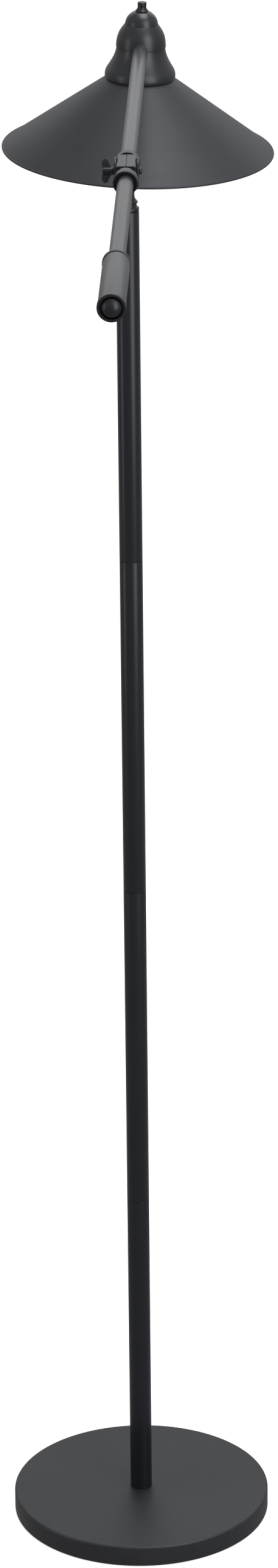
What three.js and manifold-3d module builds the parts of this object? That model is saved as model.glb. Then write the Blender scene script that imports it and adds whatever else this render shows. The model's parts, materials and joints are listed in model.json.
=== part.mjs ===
// Adjustable arm floor lamp: a weighted round base, a post of four screwed tubes, a yoke that
// swivels on the post, and a clamp that holds a sliding, counterweighted arm with a cone shade.
// Millimetres, +Z up. The origin is on the floor at the middle of the base. The arm points
// along +Y and rises towards the shade at rest.

import * as THREE from "three";
import { mergeVertices } from "three/addons/utils/BufferGeometryUtils.js";
import Module from "manifold-3d";

const wasm = await Module();
wasm.setup();

// Clearances
const SEAT_GAP = 0.3; // between faces that rest on each other or are screwed together
const RUN_GAP = 0.2; // radial, where one piece turns or slides in another

// Base
const BASE_RADIUS = 150;
const BASE_HEIGHT = 25;
const COVER_WALL = 1.6;
const COVER_EDGE_RADIUS = 2.5;
const RIM_CLEARANCE = 1; // floor to the cover's lower edge
const PAD_THICKNESS = 2;
const PAD_INSET = 3;
const PLATE_THICKNESS = 1.5;
const WEIGHT_THICKNESS = 11;
const STUD_RADIUS = 6;
const STUD_BORE = 4;
const STUD_GRIP = 20; // length of the stud inside the foot insert
const STUD_TAIL = 1.2; // stud past its nut
const NUT_HEIGHT = 7;
const NUT_WIDTH = 22; // across flats
const WASHER_RADIUS = 16;
const WASHER_THICKNESS = 1.8;
const WASHER_POCKET = 3.5; // depth of the pocket in the weight
const GLAND_BARREL_RADIUS = 3.8;
const GLAND_BORE = 2.6;
const GLAND_FLANGE_RADIUS = 5.5;
const GLAND_FLANGE = 2;
const GLAND_LENGTH = 12;

// Post
const POST_RADIUS = 12.7;
const POST_WALL = 1.5;
const SECTION_LENGTHS = [371.7, 379.8, 385.5, 385.5]; // from the base up
const INSERT_LENGTH = 30; // length of each screwed insert inside a tube end
const COUPLER_BORE = 7;

// Post head and yoke
const HEAD_GROOVE = 1;
const HEAD_COLLAR = 4.4;
const HEAD_NECK_RADIUS = 10.3;
const HEAD_NECK = 4.4;
const SWIVEL_RADIUS = 5;
const SWIVEL_BORE = 3.5;
const SWIVEL_NUT_HEIGHT = 6;
const SWIVEL_NUT_WIDTH = 16;
const SWIVEL_WASHER_RADIUS = 9;
const YOKE_FOOT_RADIUS = 11.6;
const YOKE_STEM_RADIUS = 7.9;
const YOKE_STEM_HEIGHT = 12;
const YOKE_ROOM = 3.3; // under the block's cheek, to the inner bottom of the U
const YOKE_FLOOR = 3.5;
const EAR_THICKNESS = 2.2;
const EAR_RADIUS = 14.6;
const YOKE_OUTER_CORNER = 9;
const YOKE_INNER_CORNER = 3;
const YOKE_FOOT_HALF_WIDTH = 6.5; // along the arm, at the bottom of the U

// Clamp
const BLOCK_SIDE_WALL = 1; // each wall of the block is measured over its bore
const BLOCK_FRONT = 17; // tilt axis to the block's front face
const BLOCK_REAR = 25;
const BLOCK_TOP_WALL = 3.4;
const BLOCK_CHEEK_WALL = 5.4; // rounded underside that turns inside the yoke
const BLOCK_BELLY_WALL = 1;
const BLOCK_EDGE = 1.4; // bevel along the top and side edges
const BLOCK_BEND = 6; // corner radius of the underside
const BOSS_WALL = 1.6;
const BOSS_LENGTH = 5; // each boss, past the block
const LINER_WALL = 0.6;
const FRONT_COLLAR_LENGTH = 11;
const REAR_COLLAR_LENGTH = 13;
const COLLAR_WALL = 4;
const COLLAR_MOUTH_STEP = 2.2; // over the liner's outside
const COLLAR_MOUTH_DEPTH = 4;
const PIVOT_RADIUS = 3;
const CAP_HEAD_RADIUS = 3.8;
const CAP_HEAD_LENGTH = 3.4;
const WING_HUB_RADIUS = 4.1;
const WING_HUB_LENGTH = 11.6;
const WING_REACH = 13;
const WING_THICKNESS = 2.4;
const WING_TURN = THREE.MathUtils.degToRad(20);
const WING_WASHER_RADIUS = 5.2;
const WING_WASHER_THICKNESS = 0.8;

// Arm and counterweight
const ARM_RADIUS = 8.6;
const ARM_WALL = 1.2;
const ARM_REACH = 476; // tilt axis to the shade's axis
const ARM_REAR = 427; // tilt axis to the tube's back end
const ARM_TILT = THREE.MathUtils.degToRad(7.4);
const ARM_ROLL = THREE.MathUtils.degToRad(2.4);
const WEIGHT_WALL = 5;
const WEIGHT_FRONT = 297; // tilt axis to the front ring
const WEIGHT_LENGTH = 134; // over both rings
const FRONT_RING_LENGTH = 4.3;
const REAR_RING_LENGTH = 7.7;
const RING_PROUD = 0.6; // over the counterweight's side
const RING_LIP = 2.8;
const RING_WEB = 2.5;
const PLUG_PROUD = 1.4; // over the tube's side
const PLUG_RIM = 3;
const PLUG_DOME = 6.5;
const PLUG_STEM = 16;
const SET_SCREW_RADIUS = 2.5;
const SET_SCREW_SUNK = 0.6; // below the counterweight's side
const SET_SCREW_KEY = 2.5; // across the socket's flats
const SET_SCREW_KEY_DEPTH = 2;

// Shade, measured along its own axis up from the rim's plane
const SHADE_LEAN = THREE.MathUtils.degToRad(-1.3); // shade axis off square to the arm
const RIM_RADIUS = 160.9; // over the bead
const RIM_BEAD = 1.4; // radius of the rolled edge
const CONE_TOP_RADIUS = 33.6;
const CONE_HEIGHT = 91.8;
const SHEET = 0.8;
const BELL_SKIRT_RADIUS = 40.9;
const BELL_BODY_RADIUS = 29.2;
const BELL_STEP = 0.6; // ledge under the body
const BELL_NECK_RADIUS = 19.3;
const BELL_CROWN_RADIUS = 8.6;
const BELL_HEIGHT = 78;
const BELL_WALL = 1;
const BELL_MOUTH_RADIUS = 4.6;
const ARM_JOIN_RISE = 38.1; // bell's foot to the arm's axis
const NIPPLE_RADIUS = 4.9;
const NIPPLE_BORE = 3.6;
const NIPPLE_HOLE_CLEARANCE = 0.5;
const NIPPLE_BEHIND = 20; // nipple inside the arm, behind the bell's wall
const ARM_INSERT_LENGTH = 16;
const NIPPLE_NUT_HEIGHT = 4.5;
const NIPPLE_NUT_WIDTH = 15;
const BRACKET_THICKNESS = 1.5;
const BRACKET_HALF_WIDTH = 6;
const BRACKET_RISE = 10; // leg above the arm's axis
const BRACKET_FRONT = 7;

// Lampholder, bulb and switch
const HOLDER_ROOM = 0.7; // nipple nut's lowest corner to the bracket's foot
const HOLDER_DROP = 16.8; // below the cone's top
const HOLDER_RADIUS = 20.2;
const HOLDER_SHOULDER_RADIUS = 24;
const HOLDER_SHOULDER = 3;
const HOLDER_CEILING = 4.7;
const SHELL_RADIUS = 14.3;
const SHELL_WALL = 0.7;
const SHELL_LENGTH = 26;
const CONTACT_RADIUS = 4;
const CONTACT_THICKNESS = 1.2;
const BRACKET_SCREW_RADIUS = 1.8;
const BRACKET_SCREW_HEAD = 3.5;
const BRACKET_SCREW_HEAD_HEIGHT = 2.4;
const RING_NUT_MARGIN = 5.6; // inside the cone's top edge
const RING_NUT_HEIGHT = 6.5;
const BULB_CAP_RADIUS = 13.2;
const BULB_CAP_LENGTH = 24;
const BULB_BUTTON_RADIUS = 4.8;
const BULB_BUTTON_LENGTH = 4.2;
const BULB_RADIUS = 30;
const BULB_LENGTH = 77.7; // glass alone
const BULB_WALL = 1;
const SWITCH_RADIUS = 8.5;
const SWITCH_LENGTH = 16;
const SWITCH_DEPTH = 10.9; // bell's top to the switch body
const SWITCH_BUSH_RADIUS = 4.2;
const SWITCH_BUSH_BORE = 2.6;
const SWITCH_BUSH_PROUD = 1.8; // bush above the bell's top
const SWITCH_SOCKET = 10;
const SWITCH_NUT_HEIGHT = 3.6;
const SWITCH_NUT_WIDTH = 11;
const KNOB_BASE_RADIUS = 8;
const KNOB_RADIUS = 5.4;
const KNOB_HEIGHT = 10.6;
const KNOB_FLARE = 4;

// Facets around a full turn
const FINE = 48;
const MEDIUM = 24;
const COARSE = 12;
const BEND = 5; // steps in an extruded outline's quarter turn

// Sizes that follow from the ones above
const coverUnderside = BASE_HEIGHT - COVER_WALL;
const innerBaseRadius = BASE_RADIUS - COVER_WALL - SEAT_GAP;
const weightTop = coverUnderside - SEAT_GAP;
const weightBottom = weightTop - WEIGHT_THICKNESS;
const plateBottom = PAD_THICKNESS + SEAT_GAP;
const plateTop = plateBottom + PLATE_THICKNESS;
const washerTop = weightBottom + WASHER_POCKET - SEAT_GAP;
const nutTop = washerTop - WASHER_THICKNESS - SEAT_GAP;
const glandHeight = (plateTop + weightBottom) / 2;

const postBore = POST_RADIUS - POST_WALL;
const insertRadius = postBore - SEAT_GAP;
const postFoot = BASE_HEIGHT + SEAT_GAP;
const postTop =
  postFoot - SEAT_GAP + SECTION_LENGTHS.reduce((sum, length) => sum + length + SEAT_GAP, 0);
const headFoot = postTop + SEAT_GAP;
const neckTop = headFoot + HEAD_COLLAR + HEAD_NECK;
const yokeFoot = neckTop + SEAT_GAP;
const yokeUnderside = yokeFoot + YOKE_STEM_HEIGHT;
const armBore = ARM_RADIUS - ARM_WALL;
const linerInner = ARM_RADIUS + RUN_GAP;
const linerOuter = linerInner + LINER_WALL;
const blockBore = linerOuter + RUN_GAP;
const bossFront = BLOCK_FRONT + BOSS_LENGTH;
const bossRear = BLOCK_REAR + BOSS_LENGTH;
const linerFront = bossFront + RUN_GAP + FRONT_COLLAR_LENGTH - COLLAR_MOUTH_DEPTH;
const linerRear = bossRear + RUN_GAP + REAR_COLLAR_LENGTH - COLLAR_MOUTH_DEPTH;
const blockHalfWidth = blockBore + BLOCK_SIDE_WALL;
const blockTop = blockBore + BLOCK_TOP_WALL;
const blockCheek = blockBore + BLOCK_CHEEK_WALL;
const blockBelly = blockBore + BLOCK_BELLY_WALL;
const yokeSeat = blockCheek + YOKE_ROOM; // tilt axis to the inner bottom of the U
const tiltHeight = yokeUnderside + YOKE_FLOOR + yokeSeat;
const earInner = blockHalfWidth + RUN_GAP;
const earOuter = earInner + EAR_THICKNESS;
const weightBore = ARM_RADIUS + SEAT_GAP;
const weightRadius = weightBore + WEIGHT_WALL;
const weightBodyFrom = -WEIGHT_FRONT - WEIGHT_LENGTH + REAR_RING_LENGTH + SEAT_GAP;
const weightBodyTo = -WEIGHT_FRONT - FRONT_RING_LENGTH - SEAT_GAP;
const ringRadius = weightRadius + RING_PROUD;
const plugRadius = ARM_RADIUS + PLUG_PROUD;

const beadCentre = RIM_RADIUS - RIM_BEAD;
const coneRun = beadCentre - CONE_TOP_RADIUS;
const coneRise = CONE_HEIGHT - RIM_BEAD;
const coneLength = Math.hypot(coneRun, coneRise);
const coneFall = Math.atan2(coneRise, coneRun) - Math.asin(SHEET / 2 / coneLength);
const coneSlope = 1 / Math.tan(coneFall); // radius lost per unit of height
const coneFootRadius = CONE_TOP_RADIUS + coneSlope * CONE_HEIGHT; // outside, at the rim's plane
const skirtSeatRadius = (BELL_SKIRT_RADIUS - BELL_WALL) * Math.cos(Math.PI / MEDIUM);
const bellFoot = (coneFootRadius - skirtSeatRadius) / coneSlope + SEAT_GAP;
const bellTop = bellFoot + BELL_HEIGHT;
const armJoin = bellFoot + ARM_JOIN_RISE;
const bracketWallRadius = (bellRadiusAt(armJoin + BRACKET_RISE) - BELL_WALL) * Math.cos(Math.PI / MEDIUM);
const bracketOffset = Math.sqrt(bracketWallRadius ** 2 - BRACKET_HALF_WIDTH ** 2) - SEAT_GAP;
const ringNutTop = CONE_HEIGHT - SHEET - SEAT_GAP;
const nippleNutCorner = NIPPLE_NUT_WIDTH / Math.sqrt(3);
const bracketFloorTop = armJoin - nippleNutCorner - HOLDER_ROOM;
const bracketFloor = bracketFloorTop - BRACKET_THICKNESS;
const holderTop = bracketFloor - SEAT_GAP;
const holderBottom = CONE_HEIGHT - HOLDER_DROP;
const holderCeiling = holderTop - HOLDER_CEILING;
const holderBore = SHELL_RADIUS + SEAT_GAP;
const contactTop = holderCeiling - SEAT_GAP;
const bulbTop = contactTop - CONTACT_THICKNESS - SEAT_GAP;
const bulbCapFoot = bulbTop - BULB_BUTTON_LENGTH - BULB_CAP_LENGTH;
const switchTop = bellTop - SWITCH_DEPTH;
const switchBushTop = bellTop + SWITCH_BUSH_PROUD;
const switchSocketFloor = switchTop - SWITCH_SOCKET;
const knobFoot = bellTop + SEAT_GAP + RUN_GAP;

// Shape helpers. A turned shape's profile lists [radius, place along the axis], anticlockwise,
// and closes on itself or starts and ends on the axis. It is turned about Y.
function turned(profile, facets = MEDIUM) {
  const closed = profile[0][0] === 0 ? profile : [...profile, profile[0]];
  const points = closed.map(([radius, along]) => new THREE.Vector2(radius, along));
  return new THREE.LatheGeometry(points, facets);
}

function upright(geometry) {
  return geometry.rotateX(Math.PI / 2);
}

function sideways(geometry) {
  return geometry.rotateZ(-Math.PI / 2);
}

// A plain tube or, with no bore, a plain rod.
function tube(radius, bore, from, to, facets = MEDIUM) {
  if (bore === 0) return turned([[0, from], [radius, from], [radius, to], [0, to]], facets);
  return turned([[bore, from], [radius, from], [radius, to], [bore, to]], facets);
}

// An outline in the (Y, Z) plane, extruded along X from one place to another.
function slabAcross(outline, from, to) {
  const options = { depth: to - from, bevelEnabled: false, curveSegments: BEND };
  const basis = new THREE.Matrix4().makeBasis(
    new THREE.Vector3(0, 1, 0),
    new THREE.Vector3(0, 0, 1),
    new THREE.Vector3(1, 0, 0),
  );
  return new THREE.ExtrudeGeometry(outline, options).applyMatrix4(basis).translate(from, 0, 0);
}

// An outline in the (X, Z) plane, extruded along Y. The outline is drawn as [z, x].
function slabAlong(outline, from, to) {
  const options = { depth: to - from, bevelEnabled: false, curveSegments: BEND };
  const basis = new THREE.Matrix4().makeBasis(
    new THREE.Vector3(0, 0, 1),
    new THREE.Vector3(1, 0, 0),
    new THREE.Vector3(0, 1, 0),
  );
  return new THREE.ExtrudeGeometry(outline, options).applyMatrix4(basis).translate(0, from, 0);
}

// A hexagon nut about Z with a plain bore.
function hexNut(width, bore, from, to) {
  const outline = new THREE.Shape();
  const cornerRadius = width / Math.sqrt(3);
  for (let corner = 0; corner < 6; corner += 1) {
    const angle = (corner * Math.PI) / 3;
    const x = cornerRadius * Math.cos(angle);
    const y = cornerRadius * Math.sin(angle);
    if (corner === 0) outline.moveTo(x, y);
    else outline.lineTo(x, y);
  }
  outline.closePath();
  outline.holes.push(new THREE.Path().absarc(0, 0, bore, 0, 2 * Math.PI, true));
  const options = { depth: to - from, bevelEnabled: false, curveSegments: COARSE / 2 };
  return new THREE.ExtrudeGeometry(outline, options).translate(0, 0, from);
}

function box(fromX, toX, fromY, toY, fromZ, toZ) {
  const geometry = new THREE.BoxGeometry(toX - fromX, toY - fromY, toZ - fromZ);
  return geometry.translate((fromX + toX) / 2, (fromY + toY) / 2, (fromZ + toZ) / 2);
}

// A closed geometry as a solid for cutting and joining.
function solid(geometry) {
  const bare = geometry.clone();
  bare.deleteAttribute("normal");
  bare.deleteAttribute("uv");
  const merged = mergeVertices(bare);
  const corners = merged.index.array;
  const kept = [];
  for (let i = 0; i < corners.length; i += 3) {
    const [a, b, c] = [corners[i], corners[i + 1], corners[i + 2]];
    if (a !== b && b !== c && c !== a) kept.push(a, b, c);
  }
  const vertProperties = new Float32Array(merged.attributes.position.array);
  const triVerts = new Uint32Array(kept);
  return new wasm.Manifold(new wasm.Mesh({ numProp: 3, vertProperties, triVerts }));
}

function geometryOf(manifold) {
  const mesh = manifold.getMesh();
  const geometry = new THREE.BufferGeometry();
  geometry.setAttribute("position", new THREE.BufferAttribute(mesh.vertProperties, 3));
  geometry.setIndex(new THREE.BufferAttribute(mesh.triVerts, 1));
  geometry.computeVertexNormals();
  return geometry;
}

function cut(body, ...tools) {
  return geometryOf(tools.reduce((left, tool) => left.subtract(solid(tool)), solid(body)));
}

function join(...pieces) {
  return geometryOf(pieces.map(solid).reduce((whole, piece) => whole.add(piece)));
}

function common(...pieces) {
  return geometryOf(pieces.map(solid).reduce((whole, piece) => whole.intersect(piece)));
}

// Points of a profile moved square to its line, to the left for a positive distance.
function offset(profile, distance) {
  return profile.map((point, i) => {
    const before = profile[Math.max(i - 1, 0)];
    const after = profile[Math.min(i + 1, profile.length - 1)];
    const run = Math.hypot(after[0] - before[0], after[1] - before[1]);
    const across = -((after[1] - before[1]) / run) * distance;
    const up = ((after[0] - before[0]) / run) * distance;
    return [point[0] + across, point[1] + up];
  });
}

function arc(centreX, centreY, radius, from, to, steps) {
  const points = [];
  for (let i = 0; i <= steps; i += 1) {
    const angle = from + ((to - from) * i) / steps;
    points.push([centreX + radius * Math.cos(angle), centreY + radius * Math.sin(angle)]);
  }
  return points;
}

// Finishes: colour, roughness, metalness
const FINISHES = {
  blackCoat: [0x1b1c1f, 0.55, 0.2],
  satinTube: [0x25262a, 0.35, 0.4],
  darkSheet: [0x232427, 0.6, 0.2],
  castIron: [0x4a4a4c, 0.8, 0.6],
  zinc: [0xb9bcc0, 0.4, 0.9],
  brass: [0xc2a35a, 0.35, 0.9],
  nylon: [0x101012, 0.5, 0],
  rubber: [0x0c0c0d, 0.85, 0],
  felt: [0x141415, 0.95, 0],
  phenolic: [0x18181a, 0.45, 0],
  glass: [0xf4f2ea, 0.25, 0],
};

function place(group, name, geometry, finish) {
  const [color, roughness, metalness] = FINISHES[finish];
  const material = new THREE.MeshStandardMaterial({ color, roughness, metalness });
  const mesh = new THREE.Mesh(geometry, material);
  mesh.name = name;
  group.add(mesh);
}

// Base: a pressed cover over a cast weight, closed from below by a plate and a soft pad.
function baseCover() {
  const bore = STUD_RADIUS + SEAT_GAP;
  const corner = COVER_EDGE_RADIUS;
  const edge = arc(BASE_RADIUS - corner, BASE_HEIGHT - corner, corner, 0, Math.PI / 2, 4);
  const shell = turned([
    [bore, coverUnderside],
    [BASE_RADIUS - COVER_WALL, coverUnderside],
    [BASE_RADIUS - COVER_WALL, RIM_CLEARANCE],
    [BASE_RADIUS, RIM_CLEARANCE],
    ...edge,
    [bore, BASE_HEIGHT],
  ], FINE);
  const hole = tube(GLAND_BARREL_RADIUS + SEAT_GAP, 0, BASE_RADIUS - 10, BASE_RADIUS + 10, COARSE);
  return cut(upright(shell), hole.translate(0, 0, glandHeight));
}

function baseWeight() {
  const pocketRadius = WASHER_RADIUS + SEAT_GAP;
  return upright(turned([
    [STUD_RADIUS + SEAT_GAP, weightBottom + WASHER_POCKET],
    [pocketRadius, weightBottom + WASHER_POCKET],
    [pocketRadius, weightBottom],
    [innerBaseRadius, weightBottom],
    [innerBaseRadius, weightTop],
    [STUD_RADIUS + SEAT_GAP, weightTop],
  ], FINE));
}

function cordGland() {
  const flangeFoot = BASE_RADIUS + SEAT_GAP;
  const gland = turned([
    [GLAND_BORE, flangeFoot - GLAND_LENGTH],
    [GLAND_BARREL_RADIUS, flangeFoot - GLAND_LENGTH],
    [GLAND_BARREL_RADIUS, flangeFoot],
    [GLAND_FLANGE_RADIUS, flangeFoot],
    [GLAND_FLANGE_RADIUS - 1, flangeFoot + GLAND_FLANGE],
    [GLAND_BORE, flangeFoot + GLAND_FLANGE],
  ], COARSE);
  return gland.translate(0, 0, glandHeight);
}

function addBase(group) {
  const studTop = postFoot + STUD_GRIP;
  const studFoot = nutTop - NUT_HEIGHT - STUD_TAIL;
  const nutBore = STUD_RADIUS + SEAT_GAP;
  const padRadius = BASE_RADIUS - PAD_INSET;
  const washerFoot = washerTop - WASHER_THICKNESS;
  place(group, "base_pad", upright(tube(padRadius, 0, 0, PAD_THICKNESS, FINE)), "felt");
  place(group, "bottom_plate", upright(tube(innerBaseRadius, 0, plateBottom, plateTop, FINE)), "zinc");
  place(group, "base_weight", baseWeight(), "castIron");
  place(group, "base_cover", baseCover(), "blackCoat");
  place(group, "cord_gland", cordGland(), "rubber");
  place(group, "base_washer", upright(tube(WASHER_RADIUS, nutBore, washerFoot, washerTop, COARSE)), "zinc");
  place(group, "base_nut", hexNut(NUT_WIDTH, nutBore, nutTop - NUT_HEIGHT, nutTop), "zinc");
  place(group, "base_stud", upright(tube(STUD_RADIUS, STUD_BORE, studFoot, studTop, COARSE)), "zinc");
}

// Post: plain tubes that meet edge to edge over screwed inserts.
function addPost(group) {
  const insertBore = STUD_RADIUS + SEAT_GAP;
  const insert = tube(insertRadius, insertBore, postFoot, postFoot + INSERT_LENGTH, COARSE);
  place(group, "foot_insert", upright(insert), "zinc");
  let foot = postFoot;
  SECTION_LENGTHS.forEach((length, index) => {
    const section = tube(POST_RADIUS, postBore, foot, foot + length, MEDIUM);
    place(group, `post_section_${index + 1}`, upright(section), "blackCoat");
    if (index > 0) {
      const seam = foot - SEAT_GAP / 2;
      const [low, high] = [seam - INSERT_LENGTH, seam + INSERT_LENGTH];
      const coupler = tube(insertRadius, COUPLER_BORE, low, high, COARSE);
      place(group, `post_coupler_${index}`, upright(coupler), "zinc");
    }
    foot += length + SEAT_GAP;
  });
  place(group, "post_head", postHead(), "blackCoat");
}

function postHead() {
  const bore = SWIVEL_RADIUS + RUN_GAP;
  const plugFoot = postTop - INSERT_LENGTH;
  const collarTop = headFoot + HEAD_COLLAR;
  return upright(turned([
    [bore, plugFoot],
    [insertRadius, plugFoot],
    [insertRadius, headFoot],
    [POST_RADIUS - HEAD_GROOVE, headFoot],
    [POST_RADIUS, headFoot + HEAD_GROOVE],
    [POST_RADIUS, collarTop - HEAD_GROOVE / 2],
    [POST_RADIUS - HEAD_GROOVE / 2, collarTop],
    [HEAD_NECK_RADIUS, collarTop],
    [HEAD_NECK_RADIUS, neckTop],
    [bore, neckTop],
  ]));
}

// Yoke: a flared foot and stem that open into a U with two round ears.
function yoke() {
  const bore = SWIVEL_RADIUS + SEAT_GAP;
  const flare = YOKE_FOOT_RADIUS - YOKE_STEM_RADIUS;
  const stem = upright(turned([
    [bore, yokeFoot],
    [YOKE_FOOT_RADIUS - 0.6, yokeFoot],
    [YOKE_FOOT_RADIUS, yokeFoot + 0.8],
    [YOKE_STEM_RADIUS + flare * 0.35, yokeFoot + 0.8 + flare * 0.75],
    [YOKE_STEM_RADIUS, yokeFoot + 0.8 + flare * 1.5],
    [YOKE_STEM_RADIUS, yokeUnderside + YOKE_FLOOR / 2],
    [bore, yokeUnderside + YOKE_FLOOR / 2],
  ]));

  const top = tiltHeight + EAR_RADIUS;
  const seat = tiltHeight - yokeSeat;
  const outerBend = YOKE_OUTER_CORNER;
  const innerBend = YOKE_INNER_CORNER;
  const outline = new THREE.Shape();
  outline.moveTo(top, earOuter);
  outline.lineTo(yokeUnderside + outerBend, earOuter);
  outline.absarc(yokeUnderside + outerBend, earOuter - outerBend, outerBend, Math.PI / 2, Math.PI);
  outline.lineTo(yokeUnderside, outerBend - earOuter);
  outline.absarc(yokeUnderside + outerBend, outerBend - earOuter, outerBend, Math.PI, 1.5 * Math.PI);
  outline.lineTo(top, -earOuter);
  outline.lineTo(top, -earInner);
  outline.lineTo(seat + innerBend, -earInner);
  outline.absarc(seat + innerBend, innerBend - earInner, innerBend, 1.5 * Math.PI, Math.PI, true);
  outline.lineTo(seat, earInner - innerBend);
  outline.absarc(seat + innerBend, earInner - innerBend, innerBend, Math.PI, Math.PI / 2, true);
  outline.lineTo(top, earInner);
  outline.closePath();
  const channel = slabAlong(outline, -EAR_RADIUS, EAR_RADIUS);

  // Seen from the side, each ear is a disc that narrows in a straight taper to the stem.
  const drop = Math.hypot(yokeSeat, YOKE_FOOT_HALF_WIDTH);
  const lean = Math.asin((EAR_RADIUS - YOKE_FOOT_HALF_WIDTH) / drop) * 0.9;
  const side = new THREE.Shape();
  side.moveTo(-YOKE_FOOT_HALF_WIDTH, yokeUnderside - 1);
  side.lineTo(YOKE_FOOT_HALF_WIDTH, yokeUnderside - 1);
  side.lineTo(YOKE_FOOT_HALF_WIDTH, seat);
  side.absarc(0, tiltHeight, EAR_RADIUS, -lean, Math.PI + lean);
  side.lineTo(-YOKE_FOOT_HALF_WIDTH, seat);
  side.closePath();
  const profile = slabAcross(side, -earOuter - 1, earOuter + 1);

  const bored = upright(tube(bore, 0, yokeFoot - 1, seat + 1, MEDIUM));
  const pivot = sideways(tube(PIVOT_RADIUS + RUN_GAP, 0, -earOuter - 1, earOuter + 1, COARSE));
  const body = join(common(channel, profile), stem);
  return cut(body, bored, pivot.translate(0, 0, tiltHeight));
}

function addYoke(group) {
  const plugFoot = postTop - INSERT_LENGTH;
  const washerFoot = plugFoot - SEAT_GAP - WASHER_THICKNESS;
  const nutFoot = washerFoot - SEAT_GAP - SWIVEL_NUT_HEIGHT;
  const studFoot = nutFoot - STUD_TAIL;
  const studTop = yokeUnderside + YOKE_FLOOR - 1;
  const bore = SWIVEL_RADIUS + SEAT_GAP;
  const washerTop = washerFoot + WASHER_THICKNESS;
  const washer = tube(SWIVEL_WASHER_RADIUS, bore, washerFoot, washerTop, COARSE);
  const nut = hexNut(SWIVEL_NUT_WIDTH, bore, nutFoot, nutFoot + SWIVEL_NUT_HEIGHT);
  const stud = tube(SWIVEL_RADIUS, SWIVEL_BORE, studFoot, studTop, COARSE);
  place(group, "yoke", yoke(), "blackCoat");
  place(group, "swivel_stud", upright(stud), "zinc");
  place(group, "swivel_washer", upright(washer), "zinc");
  place(group, "swivel_nut", nut, "zinc");
}

// Clamp: a block in two halves with a round boss at each end, about the arm's axis.
function clampBlock() {
  const round = BLOCK_EDGE;
  const side = new THREE.Shape();
  const cheek = blockCheek;
  const reach = Math.sqrt(cheek ** 2 - blockBelly ** 2);
  const start = Math.atan2(-blockBelly, reach);
  side.moveTo(-BLOCK_REAR, blockTop - round);
  side.lineTo(-BLOCK_REAR, -blockBelly);
  side.lineTo(-reach, -blockBelly);
  side.absarc(0, 0, cheek, -Math.PI - start, start);
  side.lineTo(BLOCK_FRONT, -blockBelly);
  side.lineTo(BLOCK_FRONT, blockTop - round);
  side.lineTo(BLOCK_FRONT - round, blockTop);
  side.lineTo(round - BLOCK_REAR, blockTop);
  side.closePath();

  const bend = BLOCK_BEND;
  const width = blockHalfWidth;
  const front = new THREE.Shape();
  front.moveTo(blockTop, width - round);
  front.lineTo(blockTop - round, width);
  front.lineTo(bend - cheek, width);
  front.absarc(bend - cheek, width - bend, bend, Math.PI / 2, Math.PI);
  front.lineTo(-cheek, bend - width);
  front.absarc(bend - cheek, bend - width, bend, Math.PI, 1.5 * Math.PI);
  front.lineTo(blockTop - round, -width);
  front.lineTo(blockTop, round - width);
  front.closePath();

  const sideSlab = slabAcross(side, -width - 1, width + 1);
  const frontSlab = slabAlong(front, -BLOCK_REAR - 1, BLOCK_FRONT + 1);
  const rearBoss = tube(blockBore + BOSS_WALL, 0, -bossRear, 1 - BLOCK_REAR);
  const frontBoss = tube(blockBore + BOSS_WALL, 0, BLOCK_FRONT - 1, bossFront);
  const bore = tube(blockBore, 0, -bossRear - 1, bossFront + 1);
  const pivotHole = sideways(tube(PIVOT_RADIUS + SEAT_GAP, 0, -width - 1, width + 1, COARSE));
  return cut(join(common(sideSlab, frontSlab), rearBoss, frontBoss), bore, pivotHole);
}

function clampHalf(side) {
  const far = 2 * bossRear;
  const near = SEAT_GAP / 2;
  const keep = side < 0 ? box(-far, -near, -far, far, -far, far) : box(near, far, -far, far, -far, far);
  return common(clampBlock(), keep);
}

// A collar with a wider mouth at its outer end, about the arm's axis.
function collar(bossEnd, length, direction) {
  const radius = linerOuter + COLLAR_WALL;
  const mouth = linerOuter + COLLAR_MOUTH_STEP;
  const from = bossEnd + RUN_GAP;
  const to = from + length;
  const bore = linerOuter + SEAT_GAP;
  const ring = turned([
    [bore, from],
    [radius - 0.6, from],
    [radius, from + 0.6],
    [radius, to - 1],
    [radius - 0.7, to],
    [mouth, to],
    [mouth, to - COLLAR_MOUTH_DEPTH],
    [bore, to - COLLAR_MOUTH_DEPTH],
  ]);
  return direction > 0 ? ring : ring.rotateX(Math.PI);
}

function wingScrew() {
  const hubFrom = earOuter + SEAT_GAP + WING_WASHER_THICKNESS + SEAT_GAP;
  const hubTo = hubFrom + WING_HUB_LENGTH;
  const tip = linerOuter + RUN_GAP + SEAT_GAP;
  const core = sideways(turned([
    [0, tip],
    [PIVOT_RADIUS, tip],
    [PIVOT_RADIUS, hubFrom],
    [WING_HUB_RADIUS, hubFrom],
    [WING_HUB_RADIUS, hubTo - 1],
    [WING_HUB_RADIUS - 1, hubTo],
    [0, hubTo],
  ], COARSE));
  const blade = new THREE.Shape();
  const middle = hubFrom + WING_HUB_LENGTH * 0.62;
  blade.moveTo(hubFrom + 1.2, 0);
  blade.lineTo(hubTo - 0.8, 0);
  const crest = WING_REACH + 0.6;
  blade.bezierCurveTo(hubTo, 4, hubTo + 1.6, 7, hubTo - 0.4, WING_REACH - 2);
  blade.bezierCurveTo(hubTo - 1.6, crest, middle - 1.5, crest, middle - 2, WING_REACH - 3);
  blade.bezierCurveTo(middle - 2.4, 7, hubFrom + 1.2, 5, hubFrom + 1.2, 0);
  const options = { depth: WING_THICKNESS, bevelEnabled: false, curveSegments: 6 };
  const flat = new THREE.ExtrudeGeometry(blade, options).translate(0, 0, -WING_THICKNESS / 2);
  const upper = flat.clone().rotateX(Math.PI / 2 + WING_TURN);
  const lower = flat.rotateX(-Math.PI / 2 + WING_TURN);
  return join(core, upper, lower).rotateZ(Math.PI);
}

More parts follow.
